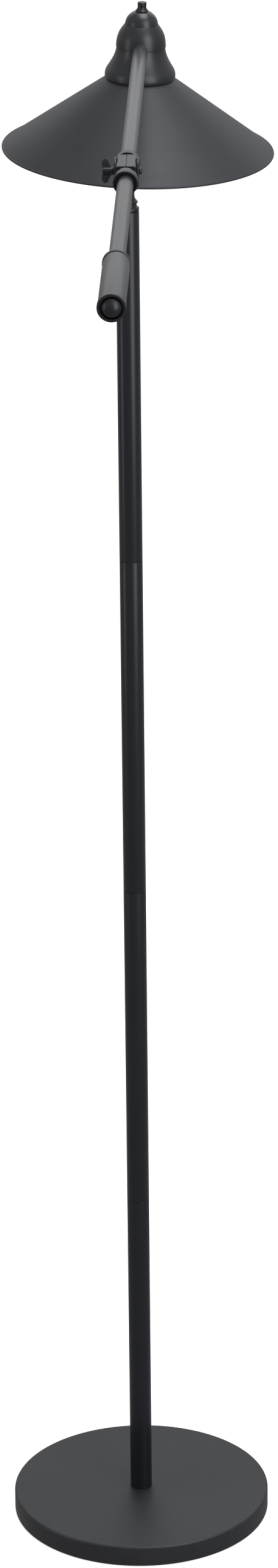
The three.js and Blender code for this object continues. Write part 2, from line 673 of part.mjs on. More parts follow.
function pivotScrew() {
  const head = earOuter + SEAT_GAP;
  const tip = linerOuter + RUN_GAP + SEAT_GAP;
  return sideways(turned([
    [0, tip],
    [PIVOT_RADIUS, tip],
    [PIVOT_RADIUS, head],
    [CAP_HEAD_RADIUS, head],
    [CAP_HEAD_RADIUS, head + CAP_HEAD_LENGTH * 0.45],
    [CAP_HEAD_RADIUS * 0.75, head + CAP_HEAD_LENGTH * 0.85],
    [0, head + CAP_HEAD_LENGTH],
  ], COARSE));
}

function addClamp(group) {
  const washerFrom = -earOuter - SEAT_GAP - WING_WASHER_THICKNESS;
  const washerBore = PIVOT_RADIUS + SEAT_GAP;
  const washerTo = washerFrom + WING_WASHER_THICKNESS;
  const washer = tube(WING_WASHER_RADIUS, washerBore, washerFrom, washerTo, COARSE);
  place(group, "clamp_half_left", clampHalf(-1), "blackCoat");
  place(group, "clamp_half_right", clampHalf(1), "blackCoat");
  place(group, "pivot_screw", pivotScrew(), "blackCoat");
  place(group, "wing_washer", sideways(washer), "zinc");
  place(group, "wing_screw", wingScrew(), "blackCoat");
}

function addLiner(group) {
  const liner = tube(linerOuter, linerInner, -linerRear, linerFront);
  place(group, "clamp_liner", liner, "nylon");
  place(group, "collar_front", collar(bossFront, FRONT_COLLAR_LENGTH, 1), "blackCoat");
  place(group, "collar_rear", collar(bossRear, REAR_COLLAR_LENGTH, -1), "blackCoat");
}

// Arm: a tube that ends in a saddle against the bell, drawn about Y from the tilt axis.
function armTube() {
  const whole = tube(ARM_RADIUS, armBore, -ARM_REAR, ARM_REACH);
  return cut(whole, placedInArm(bellEnvelope(SEAT_GAP)));
}

function armInsert() {
  const front = ARM_REACH - bellRadiusAt(armJoin) - 3;
  const back = front - ARM_INSERT_LENGTH;
  return tube(armBore - SEAT_GAP, NIPPLE_RADIUS + SEAT_GAP, back, front, COARSE);
}

function counterweight() {
  const body = tube(weightRadius, weightBore, weightBodyFrom, weightBodyTo);
  const hole = upright(tube(SET_SCREW_RADIUS + SEAT_GAP, 0, -weightRadius - 1, 0, COARSE));
  return cut(body, hole.translate(0, (weightBodyFrom + weightBodyTo) / 2, 0));
}

// A headless screw with a hexagon socket: a turned rod less a six-sided one.
function setScrew() {
  const outer = -weightRadius + SET_SCREW_SUNK;
  const rod = upright(tube(SET_SCREW_RADIUS, 0, outer, -weightBore, COARSE));
  const socketRadius = SET_SCREW_KEY / Math.sqrt(3);
  const socket = upright(tube(socketRadius, 0, outer - 1, outer + SET_SCREW_KEY_DEPTH, 6));
  return cut(rod, socket).translate(0, (weightBodyFrom + weightBodyTo) / 2, 0);
}

function rearRing() {
  const from = -WEIGHT_FRONT - WEIGHT_LENGTH;
  const to = from + REAR_RING_LENGTH;
  const mouth = ringRadius - RING_LIP;
  return turned([
    [mouth, from],
    [ringRadius - 0.8, from],
    [ringRadius, from + 0.8],
    [ringRadius, to - 0.5],
    [ringRadius - 0.5, to],
    [weightBore, to],
    [weightBore, to - RING_WEB],
    [mouth, to - RING_WEB],
  ]);
}

function frontRing() {
  const from = -WEIGHT_FRONT - FRONT_RING_LENGTH;
  const to = -WEIGHT_FRONT;
  return turned([
    [weightBore, from],
    [ringRadius - 0.5, from],
    [ringRadius, from + 0.5],
    [ringRadius, to - 0.8],
    [ringRadius - 0.8, to],
    [weightBore, to],
  ]);
}

function armEndPlug() {
  const face = -ARM_REAR - SEAT_GAP;
  const domeRadius = (plugRadius ** 2 + PLUG_DOME ** 2) / (2 * PLUG_DOME);
  const centre = face - PLUG_RIM - PLUG_DOME + domeRadius;
  const halfAngle = Math.asin(plugRadius / domeRadius);
  const dome = arc(0, centre, domeRadius, -Math.PI / 2, -Math.PI / 2 + halfAngle, 4);
  const stemRadius = armBore - SEAT_GAP;
  dome[0][0] = 0;
  return turned([
    ...dome,
    [plugRadius, face - 0.5],
    [plugRadius - 0.5, face],
    [stemRadius, face],
    [stemRadius, face + PLUG_STEM],
    [0, face + PLUG_STEM],
  ]);
}

function addArm(group) {
  const nippleFoot = ARM_REACH - bellRadiusAt(armJoin) - NIPPLE_BEHIND;
  const nutFrom = ARM_REACH - bracketOffset + BRACKET_THICKNESS + SEAT_GAP + RUN_GAP;
  const nutTo = nutFrom + NIPPLE_NUT_HEIGHT;
  const nut = hexNut(NIPPLE_NUT_WIDTH, NIPPLE_RADIUS + SEAT_GAP, -nutTo, -nutFrom);
  const nipple = tube(NIPPLE_RADIUS, NIPPLE_BORE, nippleFoot, nutTo + STUD_TAIL, COARSE);
  place(group, "arm_tube", armTube(), "satinTube");
  place(group, "counterweight", counterweight(), "satinTube");
  place(group, "weight_ring_front", frontRing(), "blackCoat");
  place(group, "weight_ring_rear", rearRing(), "blackCoat");
  place(group, "weight_set_screw", setScrew(), "zinc");
  place(group, "arm_end_plug", armEndPlug(), "blackCoat");
  place(group, "arm_insert", armInsert(), "zinc");
  place(group, "shade_nipple", nipple, "zinc");
  place(group, "nipple_nut", nut.rotateX(Math.PI / 2), "zinc");
}

// Shade: everything below is turned about the shade's axis, up from the rim's plane.
function bellOutline() {
  const up = (share) => bellFoot + share * BELL_HEIGHT;
  const line = new THREE.Path();
  const skirt = BELL_SKIRT_RADIUS;
  const body = BELL_BODY_RADIUS;
  const waist = body - BELL_STEP;
  const neck = BELL_NECK_RADIUS;
  line.moveTo(skirt, bellFoot);
  line.quadraticCurveTo(skirt + 1.3, up(0.043), skirt - 0.3, up(0.112));
  line.bezierCurveTo(skirt - 2.4, up(0.176), waist + 0.6, up(0.309), waist, up(0.471));
  line.lineTo(body, up(0.479));
  line.bezierCurveTo(body - 0.4, up(0.626), body - 2.7, up(0.692), neck + 2, up(0.78));
  line.lineTo(neck, up(0.813));
  line.bezierCurveTo(neck - 0.7, up(0.921), BELL_CROWN_RADIUS + 4, up(0.979), BELL_CROWN_RADIUS, bellTop);
  const points = [];
  for (const curve of line.curves) {
    const steps = curve.isLineCurve ? 1 : 4;
    for (const point of curve.getPoints(steps)) {
      const last = points[points.length - 1];
      const isNew = !last || Math.hypot(point.x - last[0], point.y - last[1]) > 0.01;
      if (isNew) points.push([point.x, point.y]);
    }
  }
  return points;
}

function bellRadiusAt(height) {
  const outline = bellOutline();
  const above = outline.findIndex((point) => point[1] > height);
  const [lowRadius, low] = outline[above - 1];
  const [highRadius, high] = outline[above];
  return lowRadius + ((highRadius - lowRadius) * (height - low)) / (high - low);
}

// The bell's outside as a full solid, grown by a clearance.
function bellEnvelope(clearance) {
  const skin = offset(bellOutline(), -clearance);
  const foot = skin[0][1];
  const top = skin[skin.length - 1][1];
  return upright(turned([[0, foot], ...skin, [0, top]]));
}

// Turns a shape drawn about Y in the shade's frame onto the arm's axis.
function alongArm(geometry) {
  return geometry.rotateX(-SHADE_LEAN).translate(0, 0, armJoin);
}

function bellCap() {
  const outside = bellOutline();
  const inside = offset(outside, BELL_WALL).reverse();
  const shell = upright(turned([
    ...outside,
    [BELL_MOUTH_RADIUS, bellTop],
    [BELL_MOUTH_RADIUS, bellTop - BELL_WALL],
    ...inside,
  ]));
  const holeRadius = NIPPLE_RADIUS + NIPPLE_HOLE_CLEARANCE;
  const hole = tube(holeRadius, 0, -2 * bellRadiusAt(armJoin), 0, COARSE);
  return cut(shell, alongArm(hole));
}

// A spun cone of one thickness with a rolled edge and a flat top that the holder passes through.
function shadeCone() {
  const halfMeet = Math.asin(SHEET / 2 / RIM_BEAD);
  const meet = Math.PI - coneFall;
  const bead = arc(beadCentre, RIM_BEAD, RIM_BEAD, meet + halfMeet, meet - halfMeet + 2 * Math.PI, 7);
  const mouth = HOLDER_RADIUS + SEAT_GAP;
  const underside = CONE_HEIGHT - SHEET;
  const innerTop = CONE_TOP_RADIUS - SHEET * (Math.hypot(1, coneSlope) - coneSlope);
  return upright(turned([
    ...bead,
    [CONE_TOP_RADIUS, CONE_HEIGHT],
    [mouth, CONE_HEIGHT],
    [mouth, underside],
    [innerTop, underside],
  ], FINE));
}

function holderBracket() {
  const outer = -bracketOffset;
  const inner = outer + BRACKET_THICKNESS;
  const width = BRACKET_HALF_WIDTH;
  const leg = box(-width, width, outer, inner, bracketFloor, armJoin + BRACKET_RISE);
  const foot = box(-width, width, outer, BRACKET_FRONT, bracketFloor, bracketFloorTop);
  const sideHole = tube(NIPPLE_RADIUS + NIPPLE_HOLE_CLEARANCE, 0, outer - 1, inner + 1, COARSE);
  const screwHole = tube(BRACKET_SCREW_RADIUS + SEAT_GAP, 0, bracketFloor - 1, bracketFloorTop + 1, COARSE);
  return cut(join(leg, foot), alongArm(sideHole), upright(screwHole));
}

function bracketScrew() {
  const seat = bracketFloorTop + SEAT_GAP;
  const headTop = seat + BRACKET_SCREW_HEAD_HEIGHT;
  const tip = holderCeiling + SEAT_GAP;
  return upright(turned([
    [0, tip],
    [BRACKET_SCREW_RADIUS, tip],
    [BRACKET_SCREW_RADIUS, seat],
    [BRACKET_SCREW_HEAD, seat],
    [BRACKET_SCREW_HEAD, seat + BRACKET_SCREW_HEAD_HEIGHT / 2],
    [BRACKET_SCREW_HEAD * 0.6, headTop - 0.2],
    [0, headTop],
  ], COARSE));
}

function lampholder() {
  const shoulder = CONE_HEIGHT + SEAT_GAP;
  const screwBore = BRACKET_SCREW_RADIUS + SEAT_GAP;
  return upright(turned([
    [holderBore, holderBottom],
    [HOLDER_RADIUS, holderBottom],
    [HOLDER_RADIUS, shoulder],
    [HOLDER_SHOULDER_RADIUS, shoulder],
    [HOLDER_SHOULDER_RADIUS, shoulder + HOLDER_SHOULDER],
    [HOLDER_RADIUS, shoulder + HOLDER_SHOULDER + 2],
    [HOLDER_RADIUS - 1, holderTop - 2],
    [HOLDER_RADIUS - 3, holderTop],
    [screwBore, holderTop],
    [screwBore, holderCeiling],
    [holderBore, holderCeiling],
  ]));
}

function bulbCap() {
  const shoulder = bulbCapFoot + BULB_CAP_LENGTH;
  return upright(turned([
    [0, bulbCapFoot],
    [BULB_CAP_RADIUS, bulbCapFoot],
    [BULB_CAP_RADIUS, shoulder],
    [BULB_BUTTON_RADIUS + 1, bulbTop - 1],
    [BULB_BUTTON_RADIUS, bulbTop],
    [0, bulbTop],
  ], COARSE));
}

// The glass is an open-necked globe: a round end that sweeps up into the neck.
function bulbGlass() {
  const neck = bulbCapFoot - SEAT_GAP;
  const centre = neck - BULB_LENGTH + BULB_RADIUS;
  const globe = arc(0, centre, BULB_RADIUS, -Math.PI / 2, 0.35, 5);
  const sweep = new THREE.CubicBezierCurve(
    new THREE.Vector2(...globe[globe.length - 1]),
    new THREE.Vector2(BULB_RADIUS * 0.82, centre + BULB_RADIUS * 0.7),
    new THREE.Vector2(BULB_CAP_RADIUS + 0.6, centre + BULB_RADIUS),
    new THREE.Vector2(BULB_CAP_RADIUS - 0.2, neck),
  );
  const outside = [...globe, ...sweep.getPoints(3).slice(1).map((point) => [point.x, point.y])];
  const inside = offset(outside, BULB_WALL).reverse();
  outside[0][0] = 0;
  inside[inside.length - 1][0] = 0;
  inside[0][1] = neck;
  return upright(turned([...outside, ...inside]));
}

function switchBody() {
  return upright(turned([
    [0, switchTop - SWITCH_LENGTH],
    [SWITCH_RADIUS, switchTop - SWITCH_LENGTH],
    [SWITCH_RADIUS, switchTop],
    [SWITCH_BUSH_RADIUS, switchTop],
    [SWITCH_BUSH_RADIUS, switchBushTop],
    [SWITCH_BUSH_BORE, switchBushTop],
    [SWITCH_BUSH_BORE, switchSocketFloor],
    [0, switchSocketFloor],
  ], COARSE));
}

function switchKnob() {
  const shaft = SWITCH_BUSH_BORE - RUN_GAP;
  const recess = SWITCH_BUSH_RADIUS + RUN_GAP;
  const top = knobFoot + KNOB_HEIGHT;
  return upright(turned([
    [0, switchSocketFloor + SEAT_GAP],
    [shaft, switchSocketFloor + SEAT_GAP],
    [shaft, switchBushTop + SEAT_GAP],
    [recess, switchBushTop + SEAT_GAP],
    [recess, knobFoot],
    [KNOB_BASE_RADIUS, knobFoot],
    [KNOB_BASE_RADIUS, knobFoot + 0.7],
    [KNOB_BASE_RADIUS - 1.6, knobFoot + KNOB_FLARE * 0.45],
    [KNOB_RADIUS, knobFoot + KNOB_FLARE],
    [KNOB_RADIUS, top - 0.8],
    [KNOB_RADIUS - 0.8, top],
    [0, top],
  ], COARSE));
}

function addShade(group) {
  const shellTop = holderCeiling - SEAT_GAP;
  const shell = tube(SHELL_RADIUS, SHELL_RADIUS - SHELL_WALL, shellTop - SHELL_LENGTH, shellTop);
  const contact = tube(CONTACT_RADIUS, 0, contactTop - CONTACT_THICKNESS, contactTop, COARSE);
  const ringBore = HOLDER_RADIUS + SEAT_GAP;
  const ring = tube(CONE_TOP_RADIUS - RING_NUT_MARGIN, ringBore, ringNutTop - RING_NUT_HEIGHT, ringNutTop);
  const nutTop = bellTop - BELL_WALL - SEAT_GAP;
  const nutBore = SWITCH_BUSH_RADIUS + SEAT_GAP;
  const nut = hexNut(SWITCH_NUT_WIDTH, nutBore, nutTop - SWITCH_NUT_HEIGHT, nutTop);
  place(group, "bell_cap", bellCap(), "blackCoat");
  place(group, "shade_cone", shadeCone(), "darkSheet");
  place(group, "holder_bracket", holderBracket(), "zinc");
  place(group, "bracket_screw", bracketScrew(), "zinc");
  place(group, "lampholder", lampholder(), "phenolic");
  place(group, "holder_shell", upright(shell), "brass");
  place(group, "centre_contact", upright(contact), "brass");
  place(group, "shade_ring", upright(ring), "phenolic");
  place(group, "bulb_cap", bulbCap(), "zinc");
  place(group, "bulb_glass", bulbGlass(), "glass");
  place(group, "switch_body", switchBody(), "phenolic");
  place(group, "switch_nut", nut, "zinc");
  place(group, "switch_knob", switchKnob(), "blackCoat");
}

// The shade's own frame seen from the arm: rim plane below the arm, axis off square.
function setShadeFrame(object) {
  object.rotation.x = SHADE_LEAN;
  object.position.set(0, ARM_REACH, 0);
  object.position.add(new THREE.Vector3(0, 0, -armJoin).applyEuler(object.rotation));
}

function placedInArm(geometry) {
  const frame = new THREE.Object3D();
  setShadeFrame(frame);
  frame.updateMatrix();
  return geometry.applyMatrix4(frame.matrix);
}

const lamp = new THREE.Group();
addBase(lamp);
addPost(lamp);
addYoke(lamp);

const clamp = new THREE.Group();
clamp.position.set(0, 0, tiltHeight);
clamp.rotation.x = ARM_TILT;
addClamp(clamp);
lamp.add(clamp);

const arm = new THREE.Group();
arm.rotation.y = ARM_ROLL;
addLiner(arm);
addArm(arm);
clamp.add(arm);

const shade = new THREE.Group();
setShadeFrame(shade);
addShade(shade);
arm.add(shade);

export default lamp;
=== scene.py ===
"""Adjustable arm floor lamp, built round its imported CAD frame. Metres, +Z up, arm along +Y.

Pieces are drawn in millimetres about their own axis, then put in place and turned to metres.
"""

import json
import math

import bmesh
import bpy
from mathutils import Matrix, Vector


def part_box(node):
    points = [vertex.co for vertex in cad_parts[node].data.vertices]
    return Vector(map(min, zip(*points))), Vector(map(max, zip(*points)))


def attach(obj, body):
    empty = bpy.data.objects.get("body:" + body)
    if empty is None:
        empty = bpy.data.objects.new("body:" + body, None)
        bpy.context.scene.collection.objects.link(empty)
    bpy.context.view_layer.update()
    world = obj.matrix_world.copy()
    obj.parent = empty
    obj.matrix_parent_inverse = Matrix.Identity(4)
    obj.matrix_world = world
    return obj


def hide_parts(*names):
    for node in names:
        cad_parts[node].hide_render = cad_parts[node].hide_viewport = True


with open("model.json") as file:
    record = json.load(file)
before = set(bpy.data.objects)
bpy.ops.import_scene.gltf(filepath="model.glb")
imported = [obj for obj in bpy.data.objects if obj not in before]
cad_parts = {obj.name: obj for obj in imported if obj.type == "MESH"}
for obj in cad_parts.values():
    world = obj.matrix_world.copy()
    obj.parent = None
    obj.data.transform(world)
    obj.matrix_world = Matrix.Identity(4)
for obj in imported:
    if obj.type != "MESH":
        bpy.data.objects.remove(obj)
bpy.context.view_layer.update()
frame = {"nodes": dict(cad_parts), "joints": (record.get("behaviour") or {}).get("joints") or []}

# Camera: a long lens behind the counterweight and above it, so that the arm runs away from
# the camera to the shade and the whole post is seen down to the base.
CAMERA_PLACE = Vector((0.165, -4.293, 2.377))
CAMERA_PITCH = math.radians(18.93)
CAMERA_HEADING = math.radians(-2.12)
CAMERA_ROLL = math.radians(0.61)
CAMERA_LENS = 93.37
SENSOR_WIDTH = 36


def set_up(name, data):
    """A new object, linked into the scene."""
    thing = bpy.data.objects.new(name, data)
    bpy.context.scene.collection.objects.link(thing)
    return thing


forward = Vector((
    math.sin(CAMERA_HEADING) * math.cos(CAMERA_PITCH),
    math.cos(CAMERA_HEADING) * math.cos(CAMERA_PITCH),
    -math.sin(CAMERA_PITCH),
))
level = Vector((math.cos(CAMERA_HEADING), -math.sin(CAMERA_HEADING), 0))
down = forward.cross(level)
right = math.cos(CAMERA_ROLL) * level + math.sin(CAMERA_ROLL) * down
top = math.sin(CAMERA_ROLL) * level - math.cos(CAMERA_ROLL) * down
camera_data = bpy.data.cameras.new("camera")
camera_data.lens = CAMERA_LENS
camera_data.sensor_width = SENSOR_WIDTH
camera_data.clip_end = 60
camera = set_up("camera", camera_data)
camera.matrix_world = Matrix.LocRotScale(
    CAMERA_PLACE, Matrix((right, top, -forward)).transposed().to_quaternion(), None
)
bpy.context.scene.camera = camera


# Studio: a plain pale floor under a white sky that lights less from below than from above, a
# large softbox to the right, a narrow weak one to the left, one overhead and one far behind.
class Reading:
    """A number coming out of a shader node, for use in plain expressions."""

    def __init__(self, tree, socket):
        self.tree = tree
        self.socket = socket

    def combined(self, operation, first, second):
        node = self.tree.nodes.new("ShaderNodeMath")
        node.operation = operation
        for slot, value in zip(node.inputs, (first, second)):
            if isinstance(value, Reading):
                self.tree.links.new(value.socket, slot)
            else:
                slot.default_value = value
        return Reading(self.tree, node.outputs[0])

    def __add__(self, other):
        return self.combined("ADD", self, other)

    __radd__ = __add__

    def __sub__(self, other):
        return self.combined("SUBTRACT", self, other)

    def __rsub__(self, other):
        return self.combined("SUBTRACT", other, self)

    def __mul__(self, other):
        return self.combined("MULTIPLY", self, other)

    __rmul__ = __mul__

    def __truediv__(self, other):
        return self.combined("DIVIDE", self, other)

    def __rtruediv__(self, other):
        return self.combined("DIVIDE", other, self)


class Wiring:
    """A node tree that nodes are added to, each with its settings and its sockets' values."""

    def node(self, kind, settings, sockets, out=0):
        made = self.tree.nodes.new(kind)
        for name, value in settings.items():
            if name == "stops":
                ramp = made.color_ramp
                while len(ramp.elements) < len(value):
                    ramp.elements.new(0.5)
                for element, (position, shade) in zip(ramp.elements, value):
                    element.position = position
                    element.color = (shade, shade, shade, 1)
            else:
                setattr(made, name, value)
        for name, value in sockets.items():
            if isinstance(value, Reading):
                self.tree.links.new(value.socket, made.inputs[name])
            else:
                made.inputs[name].default_value = value
        return Reading(self.tree, made.outputs[out]) if made.outputs else None


class Finish(Wiring):
    """A material: patterns read Object coordinates and end in one Principled surface."""

    PATCH = 0.6  # how wide a noise patch is, in the texture's own units

    def __init__(self, name):
        self.material = bpy.data.materials.new(name)
        self.material.use_nodes = True
        self.tree = self.material.node_tree
        self.tree.nodes.clear()
        self.place = self.node("ShaderNodeTexCoord", {}, {}, "Object")

    def cloud(self, size, detail=2.0, stretch=(1, 1, 1)):
        """Soft noise whose patches are about `size` metres across."""
        spread = self.node(
            "ShaderNodeMapping", {}, {"Vector": self.place, "Scale": [1 / s for s in stretch]}
        )
        sockets = {"Vector": spread, "Scale": self.PATCH / size, "Detail": detail}
        return self.node("ShaderNodeTexNoise", {}, sockets, "Fac")

    def cells(self, size):
        """Distance to the nearest of scattered points about `size` metres apart."""
        sockets = {"Vector": self.place, "Scale": 1 / size}
        return self.node("ShaderNodeTexVoronoi", {}, sockets, "Distance")

    def ramp(self, reading, *stops):
        return self.node("ShaderNodeValToRGB", {"stops": stops}, {"Fac": reading})

    def between(self, mask, low, high):
        """A colour that goes from low to high as the mask goes from 0 to 1."""
        sockets = {"Factor": mask, 6: (*low, 1), 7: (*high, 1)}
        return self.node("ShaderNodeMix", {"data_type": "RGBA"}, sockets, 2)

    def bump(self, height, depth, strength=1.0):
        sockets = {"Height": height, "Distance": depth, "Strength": strength}
        return self.node("ShaderNodeBump", {}, sockets)

    def surface(self, **sockets):
        names = {name.replace("_", " "): value for name, value in sockets.items()}
        shader = self.node("ShaderNodeBsdfPrincipled", {}, names)
        self.node("ShaderNodeOutputMaterial", {}, {"Surface": shader})
        return self.material


FLOOR_HALF = 20
FLOOR_GLOW = 0.65


def floor_material():
    floor = Finish("pale_floor")
    tint = floor.between(floor.cloud(0.4), (0.86, 0.86, 0.86), (0.88, 0.88, 0.88))
    return floor.surface(
        Base_Color=tint, Roughness=0.75, Emission_Color=(1, 1, 1, 1), Emission_Strength=FLOOR_GLOW
    )


DAYLIGHT = (0.93, 0.96, 1)


def studio_light(name, place, aim, width, height, power):
    data = bpy.data.lights.new(name, "AREA")
    data.shape = "RECTANGLE"
    data.size = width
    data.size_y = height
    data.energy = power
    data.color = DAYLIGHT
    lamp = set_up(name, data)
    lamp.matrix_world = Matrix.LocRotScale(
        Vector(place), (Vector(aim) - Vector(place)).to_track_quat("-Z", "Y"), None
    )
    lamp.visible_camera = False


floor_mesh = bpy.data.meshes.new("studio_floor")
corners = [(x * FLOOR_HALF, y * FLOOR_HALF, 0) for x, y in ((-1, -1), (1, -1), (1, 1), (-1, 1))]
floor_mesh.from_pydata(corners, [], [(0, 1, 2, 3)])
floor_mesh.materials.append(floor_material())
studio_floor = set_up("studio_floor", floor_mesh)
# The floor shows, but throws no light up the post and isn't mirrored in it.
studio_floor.visible_diffuse = False
studio_floor.visible_glossy = False

sky = bpy.data.worlds.new("white_sky")
sky.use_nodes = True
air = Wiring()
air.tree = sky.node_tree
air.tree.nodes.clear()
SKY_LIGHT = 0.5
GROUND_LIGHT = 0.3
HORIZON_SHARPNESS = 4
HORIZON_LIFT = 0.6
seen = air.node("ShaderNodeLightPath", {}, {}, "Is Camera Ray")
direction = air.node("ShaderNodeTexCoord", {}, {}, "Generated")
upward = air.node("ShaderNodeSeparateXYZ", {}, {"Vector": direction}, "Z")
horizon = air.node("ShaderNodeClamp", {}, {"Value": HORIZON_SHARPNESS * upward + HORIZON_LIFT})
even = GROUND_LIGHT + (SKY_LIGHT - GROUND_LIGHT) * horizon
strength = even + seen - seen * even
glow = air.node("ShaderNodeBackground", {}, {"Color": (1, 1, 1, 1), "Strength": strength})
air.node("ShaderNodeOutputWorld", {}, {"Surface": glow})
bpy.context.scene.world = sky
bpy.context.scene.view_settings.view_transform = "Standard"
studio_light("softbox_right", (1.6, -1.7, 1.9), (0, 0, 0.9), 1.5, 3, 46)
studio_light("softbox_left", (-2.6, -0.9, 1.4), (0, 0, 0.9), 0.6, 2.4, 10)
studio_light("softbox_top", (0.4, 0.3, 3.6), (0, 0.2, 0.8), 1.6, 1.2, 34)
studio_light("softbox_back", (0.2, 4.2, 4.2), (0, 0, 1.4), 6, 3, 44)

# Base cover: a pressed steel disc with a rolled top edge and a plain skirt, in black
# fine-textured powder coat. It hides the cast weight and takes the post at its middle.
COAT_BLACK = (0.010, 0.0105, 0.0125)
COAT_WORN = (0.026, 0.027, 0.031)


def softened(points, steps=6):
    """Corners given as (radius, height, fillet) become small arcs."""
    line = []
    count = len(points)
    for i, point in enumerate(points):
        fillet = point[2] if len(point) > 2 else 0
        if fillet == 0:
            line.append((point[0], point[1]))
            continue
        corner = Vector(point[:2])
        before = (Vector(points[i - 1][:2]) - corner).normalized()
        after = (Vector(points[(i + 1) % count][:2]) - corner).normalized()
        half = before.angle(after) / 2
        run = fillet / math.tan(half)
        centre = corner + (before + after).normalized() * (fillet / math.sin(half))
        start = corner + before * run - centre
        turn = start.angle_signed(corner + after * run - centre)
        for step in range(steps + 1):
            spun = start.copy()
            spun.rotate(Matrix.Rotation(-turn * step / steps, 2))
            line.append(tuple(centre + spun))
    return line


ON_AXIS = 1e-9
MERGED_WITHIN = 1e-5


def turned(profile, facets=128):
    """Spins a profile of (radius, height) in mm about Z. Points on the axis become poles."""
    verts = []
    rows = []
    for radius, height in profile:
        if abs(radius) < ON_AXIS:
            rows.append([len(verts)] * facets)
            verts.append((0, 0, height))
            continue
        first = len(verts)
        rows.append([first + i for i in range(facets)])
        for i in range(facets):
            angle = 2 * math.pi * i / facets
            verts.append((radius * math.cos(angle), radius * math.sin(angle), height))
    closed_by_poles = profile[0][0] == 0
    pairs = list(zip(rows, rows[1:])) + ([] if closed_by_poles else [(rows[-1], rows[0])])
    faces = []
    for low, high in pairs:
        for i in range(facets):
            j = (i + 1) % facets
            corners = []
            for corner in (low[i], low[j], high[j], high[i]):
                if corner not in corners:
                    corners.append(corner)
            if len(corners) > 2:
                faces.append(corners)
    mesh = bpy.data.meshes.new("turned")
    mesh.from_pydata(verts, [], faces)
    outwards(mesh)
    return mesh


def lathed(corners, facets=128):
    """The same, with its corners softened first."""
    return turned(softened(corners), facets)


def round_bar(radius, low, high, turn, facets=96):
    """A plain cylinder from low to high, turned to where it cuts or joins."""
    bar = turned([(0, low), (radius, low), (radius, high), (0, high)], facets)
    bar.transform(turn)
    return bar


def outwards(mesh):
    """Merges doubled points and turns every face outwards."""
    work = bmesh.new()
    work.from_mesh(mesh)
    bmesh.ops.remove_doubles(work, verts=work.verts, dist=MERGED_WITHIN)
    bmesh.ops.recalc_face_normals(work, faces=work.faces)
    work.to_mesh(mesh)
    work.free()


def carved(mesh, *steps):
    """Cuts ("DIFFERENCE"), joins ("UNION") or keeps ("INTERSECT") by other meshes, in turn."""
    body = set_up("body", mesh)
    for operation, tool in steps:
        cutter = set_up("cutter", tool)
        change = body.modifiers.new("cut", "BOOLEAN")
        change.operation = operation
        change.solver = "EXACT"
        change.object = cutter
        result = plain_mesh(body)
        body.modifiers.clear()
        body.data = result
        bpy.data.objects.remove(cutter)
    mesh = body.data
    bpy.data.objects.remove(body)
    return mesh


def plain_mesh(thing):
    """An object's mesh as its modifiers leave it."""
    graph = bpy.context.evaluated_depsgraph_get()
    return bpy.data.meshes.new_from_object(thing.evaluated_get(graph))


MILLIMETRES = Matrix.Scale(0.001, 4)
STANDING = Matrix()  # already where it belongs


def piece(name, mesh, place, material, body, node, crease=35):
    """Puts a finished mesh in the lamp: its place, finish, body and the CAD node it stands for."""
    mesh.transform(place @ MILLIMETRES)
    mesh.materials.clear()
    mesh.materials.append(material)
    mesh.shade_smooth()
    mesh.set_sharp_from_angle(angle=math.radians(crease))
    thing = set_up(name, mesh)
    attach(thing, body)
    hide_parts(node)


def textured_coat(name):
    coat = Finish(name)
    grain = coat.cloud(0.0011, detail=3.0)
    fine = coat.cloud(0.0004, detail=1.0)
    drift = coat.cloud(0.09)
    speck = coat.ramp(coat.cells(0.0021), (0.0, 1.0), (0.17, 0.0))
    tone = coat.ramp(grain * 0.7 + drift * 0.4, (0.3, 0.0), (0.8, 1.0))
    colour = coat.between(tone, COAT_BLACK, COAT_WORN)
    rough = 0.36 + 0.18 * grain - 0.1 * speck
    relief = coat.bump(grain + 0.35 * fine + 0.25 * speck, 0.00018, 0.8)
    return coat.surface(Base_Color=colour, Roughness=rough, Normal=relief, Specular_IOR_Level=0.45)


BASE_RADIUS = 150
BASE_TOP = 25
COVER_WALL = 1.6
COVER_FOOT = 1
STUD_HOLE = 6.3
GLAND_HEIGHT = 7.95
GLAND_HOLE = 4.1
base_coat = textured_coat("textured_black_coat")
cover = lathed([
    (STUD_HOLE, BASE_TOP - COVER_WALL),
    (BASE_RADIUS - COVER_WALL, BASE_TOP - COVER_WALL, 1.0),
    (BASE_RADIUS - COVER_WALL, COVER_FOOT, 0.4),
    (BASE_RADIUS, COVER_FOOT, 0.5),
    (BASE_RADIUS, BASE_TOP, 2.5),
    (STUD_HOLE, BASE_TOP),
], 256)
ALONG = Matrix.Rotation(-math.pi / 2, 4, "X")  # turns a height into a distance along the arm
gland_place = Matrix.Translation((0, 0, GLAND_HEIGHT)) @ ALONG
gland_cut = round_bar(GLAND_HOLE, BASE_RADIUS - 8, BASE_RADIUS + 8, gland_place, 48)
cover = carved(cover, ("DIFFERENCE", gland_cut))
piece("base_shell", cover, STANDING, base_coat, "stand", "base_cover")


# Inside the base: a cast iron weight, a zinc-plated plate that closes it from below, the stud,
# nut and washer that clamp the post, and a felt pad that the lamp stands on.
def refinish(material, *nodes):
    """Gives carried-over CAD nodes a better finish."""
    for node in nodes:
        frame["nodes"][node].material_slots[0].material = material


def zinc_plate():
    plating = Finish("zinc_plate")
    bloom = plating.cloud(0.004, detail=3.0)
    drawn = plating.cloud(0.0012, stretch=(1, 1, 8))
    colour = plating.between(bloom, (0.46, 0.47, 0.48), (0.66, 0.66, 0.64))
    rough = 0.28 + 0.2 * bloom + 0.08 * drawn
    return plating.surface(
        Base_Color=colour, Metallic=1.0, Roughness=rough, Normal=plating.bump(drawn, 0.00004, 0.4)
    )


def cast_iron():
    iron = Finish("cast_iron")
    lumps = iron.cloud(0.003, detail=5.0)
    colour = iron.between(lumps, (0.06, 0.06, 0.062), (0.14, 0.135, 0.13))
    return iron.surface(
        Base_Color=colour, Metallic=0.6, Roughness=0.6 + 0.25 * lumps,
        Normal=iron.bump(lumps, 0.0005),
    )


